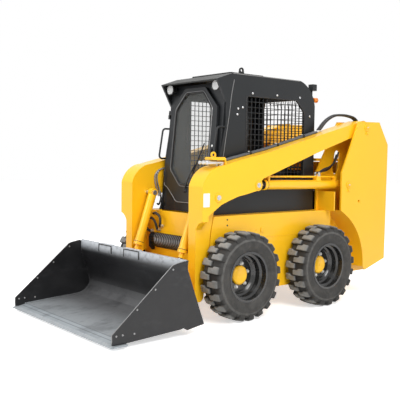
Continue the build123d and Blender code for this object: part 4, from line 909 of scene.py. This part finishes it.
def swell(pad, cap):
    """How far each point of a pad moves, at most by cap, when it is blown up as cloth under pressure."""
    cloth = pad.modifiers.new("swell", "CLOTH")
    cloth.settings.use_pressure = True
    cloth.settings.uniform_pressure_force = 4
    cloth.settings.effector_weights.gravity = 0
    cloth.point_cache.frame_end = SWELL_FRAMES
    for step in range(1, SWELL_FRAMES + 1):
        bpy.context.scene.frame_set(step)
    swollen = pad.evaluated_get(bpy.context.evaluated_depsgraph_get()).to_mesh()
    move = read(swollen.vertices) - read(pad.data.vertices)
    pad.modifiers.remove(cloth)
    bpy.context.scene.frame_set(1)
    return move * np.minimum(1, cap / 1000 / np.maximum(np.linalg.norm(move, axis=1, keepdims=True), 1e-9))


def upholster(name, node, centre, u, v, outline, levels, crown, seams, cap):
    """Padded part: a closed crowned form, swelled as cloth under pressure, then drawn in along its seams.

    The form is a rounded outline scaled and raised by levels, and its upper side is lifted by
    crown·(1 - p²)(1 - q²). It is remeshed evenly and swelled, each point moves at most cap, not at all on
    the seated side, and each seam dips by depth·exp(-(d / width)²) at a distance d from its line. seams gives
    offset and depth of the two lines along v, and of the two along u that run between them.
    """
    u, v = unit(u), unit(v)
    normal = np.cross(u, v)
    grid = plates(centre, u, v, outline, levels)
    half_u, half_v = np.abs(outline).max(0) / 1000
    local = grid - centre
    p, q, h = local @ u / half_u, local @ v / half_v, local @ normal
    lift = crown / 1000 * np.clip(1 - p ** 2, 0, 1) * np.clip(1 - q ** 2, 0, 1) * (h > levels[2][1] / 1000)
    pad = add_piece(name, [grid + lift[..., None] * normal], CLOTH, crease=80)
    bpy.context.view_layer.objects.active = pad
    remesh = pad.modifiers.new("even", "REMESH")
    remesh.mode = "VOXEL"
    remesh.voxel_size = VOXEL
    remesh.use_smooth_shade = True
    bpy.ops.object.modifier_apply(modifier="even")
    vertices = pad.data.vertices
    rest = read(vertices)
    free = np.clip((rest - centre) @ normal / 0.02, 0, 1)
    vertices.foreach_set("co", (rest + swell(pad, cap) * free[:, None]).ravel())
    place, facing = read(vertices), read(vertices, "normal")
    p, q, h = (1000 * (place - centre) @ way for way in (u, v, normal))
    (seam_p, deep), (seam_q, shallow) = seams
    dip = deep * np.exp(-((np.abs(p) - seam_p) / SEAM_WIDTH) ** 2)
    dip += shallow * np.exp(-((np.abs(q) - seam_q) / SEAM_WIDTH) ** 2) * (np.abs(p) <= seam_p)
    dip *= np.clip(h / 20, 0, 1)
    vertices.foreach_set("co", (place - facing * dip[:, None] / 1000).ravel())
    finer = pad.modifiers.new("finer", "SUBSURF")
    finer.levels = finer.render_levels = 1
    pad.data.update()
    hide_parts(node)


BACK_LEAN = math.atan2(70, 610)
upholster("seat_pad", "seat_cushion", at(0, 668, 881), LEFT, BACK, rounded(214, 232, 60, 8),
          [(0, 0), (0.96, 0), (1, 14), (1, 58), (0.985, 70), (0.94, 80), (0.7, 86), (0.35, 88), (0, 88)],
          10, ((120, 9), (60, 7)), 9)
upholster("seat_back_pad", "seat_back", at(0, 1004, 1225), LEFT,
          (0, -math.sin(BACK_LEAN), -math.cos(BACK_LEAN)), rounded(200, 288, 70, 8),
          [(0, 0), (0.95, 0), (1, 12), (1, 34), (0.985, 44), (0.94, 52), (0.7, 57), (0.35, 59), (0, 59)], 9,
          ((110, 8), (90, 6)), 8)
BOOT = [(0, 0), (0, 40), (5, 41), (9, 34), (14, 36), (18, 29), (24, 31), (28, 24), (34, 25), (38, 18), (46, 13),
        (50, 0)]
GRIP = [(-46, 0), (-46, 15), (-40, 18), (-24, 20), (-8, 25), (6, 28), (20, 27.5), (30, 22), (35, 12), (36, 0)]
boots = [(BOOT, at(s * 295, 560, 1096), UP, 24) for name, s in SIDES]
grips = [(GRIP, at(s * 281, 512, 1232), (-0.12 * s, -0.25, 1), 24) for name, s in SIDES]
add_turned("lever_boots", boots, SEAL)
add_turned("lever_grips", grips, SEAL)

# --- camera, floor and light
SENSOR = 36.0
FOCAL = 678.45 / 400.0          # focal length in widths of the picture
CAMERA_PLACE = (4.956, -4.028 + AXLE_Y, 1.414)
YAW, PITCH, ROLL = math.radians(50.43), math.radians(3.58), 0.0134
camera_data = bpy.data.cameras.new("camera")
camera_data.sensor_width = SENSOR
camera_data.lens = SENSOR * FOCAL
camera = link("camera", camera_data)
forward = np.array([-math.sin(YAW) * math.cos(PITCH), math.cos(YAW) * math.cos(PITCH), -math.sin(PITCH)])
right = np.array([math.cos(YAW), math.sin(YAW), 0.0])
above = np.cross(right, forward)
across = right * math.cos(ROLL) + above * math.sin(ROLL)
upward = -right * math.sin(ROLL) + above * math.cos(ROLL)
turn = Matrix((across, upward, -forward)).transposed().to_4x4()
turn.translation = CAMERA_PLACE
camera.matrix_world = turn
bpy.context.scene.camera = camera

world = bpy.data.worlds.new("studio")
bpy.context.scene.world = world
world.use_nodes = True
sky = Shader(world.node_tree)
sky.fill(world.node_tree.nodes["Background"], Color=sky.mix(sky.seen(), (0.5, 0.5, 0.51), (1, 1, 1)),
         Strength=1.0)

# Soft square lamps: name, place, the spot each points at, size and power.
for name, place, aim, size, power in (("key_light", (5.5, -2.0, 6.0), (0, 0, 0.8), 4.0, 430),
                                      ("front_light", (-1.5, -7.0, 3.5), (0, -1, 0.8), 4.0, 200),
                                      ("top_light", (-1.0, 1.0, 7.0), (0, 0, 1), 5.0, 200)):
    data = bpy.data.lights.new(name, "AREA")
    data.size, data.energy = size, power
    lamp = link(name, data)
    lamp.location = place
    lamp.rotation_euler = (Vector(aim) - Vector(place)).to_track_quat("-Z", "Y").to_euler()

FLOOR_GLOW = 0.55           # lifts the far floor to the backdrop's white and keeps the object's shadow
FLOOR_HALF = 30
floor_mesh = bpy.data.meshes.new("floor")
floor_mesh.from_pydata([(x * FLOOR_HALF, y * FLOOR_HALF, 0) for x, y in ((-1, -1), (1, -1), (1, 1), (-1, 1))],
                       [], [(0, 1, 2, 3)])
floor_material, glow, floor_skin = new_material("studio_floor")
glow.fill(floor_skin, Base_Color=(0.9, 0.9, 0.9, 1), Roughness=0.95, Emission_Color=(1, 1, 1, 1),
          Emission_Strength=glow.times(glow.seen(), FLOOR_GLOW))
floor_mesh.materials.append(floor_material)
link("floor", floor_mesh)
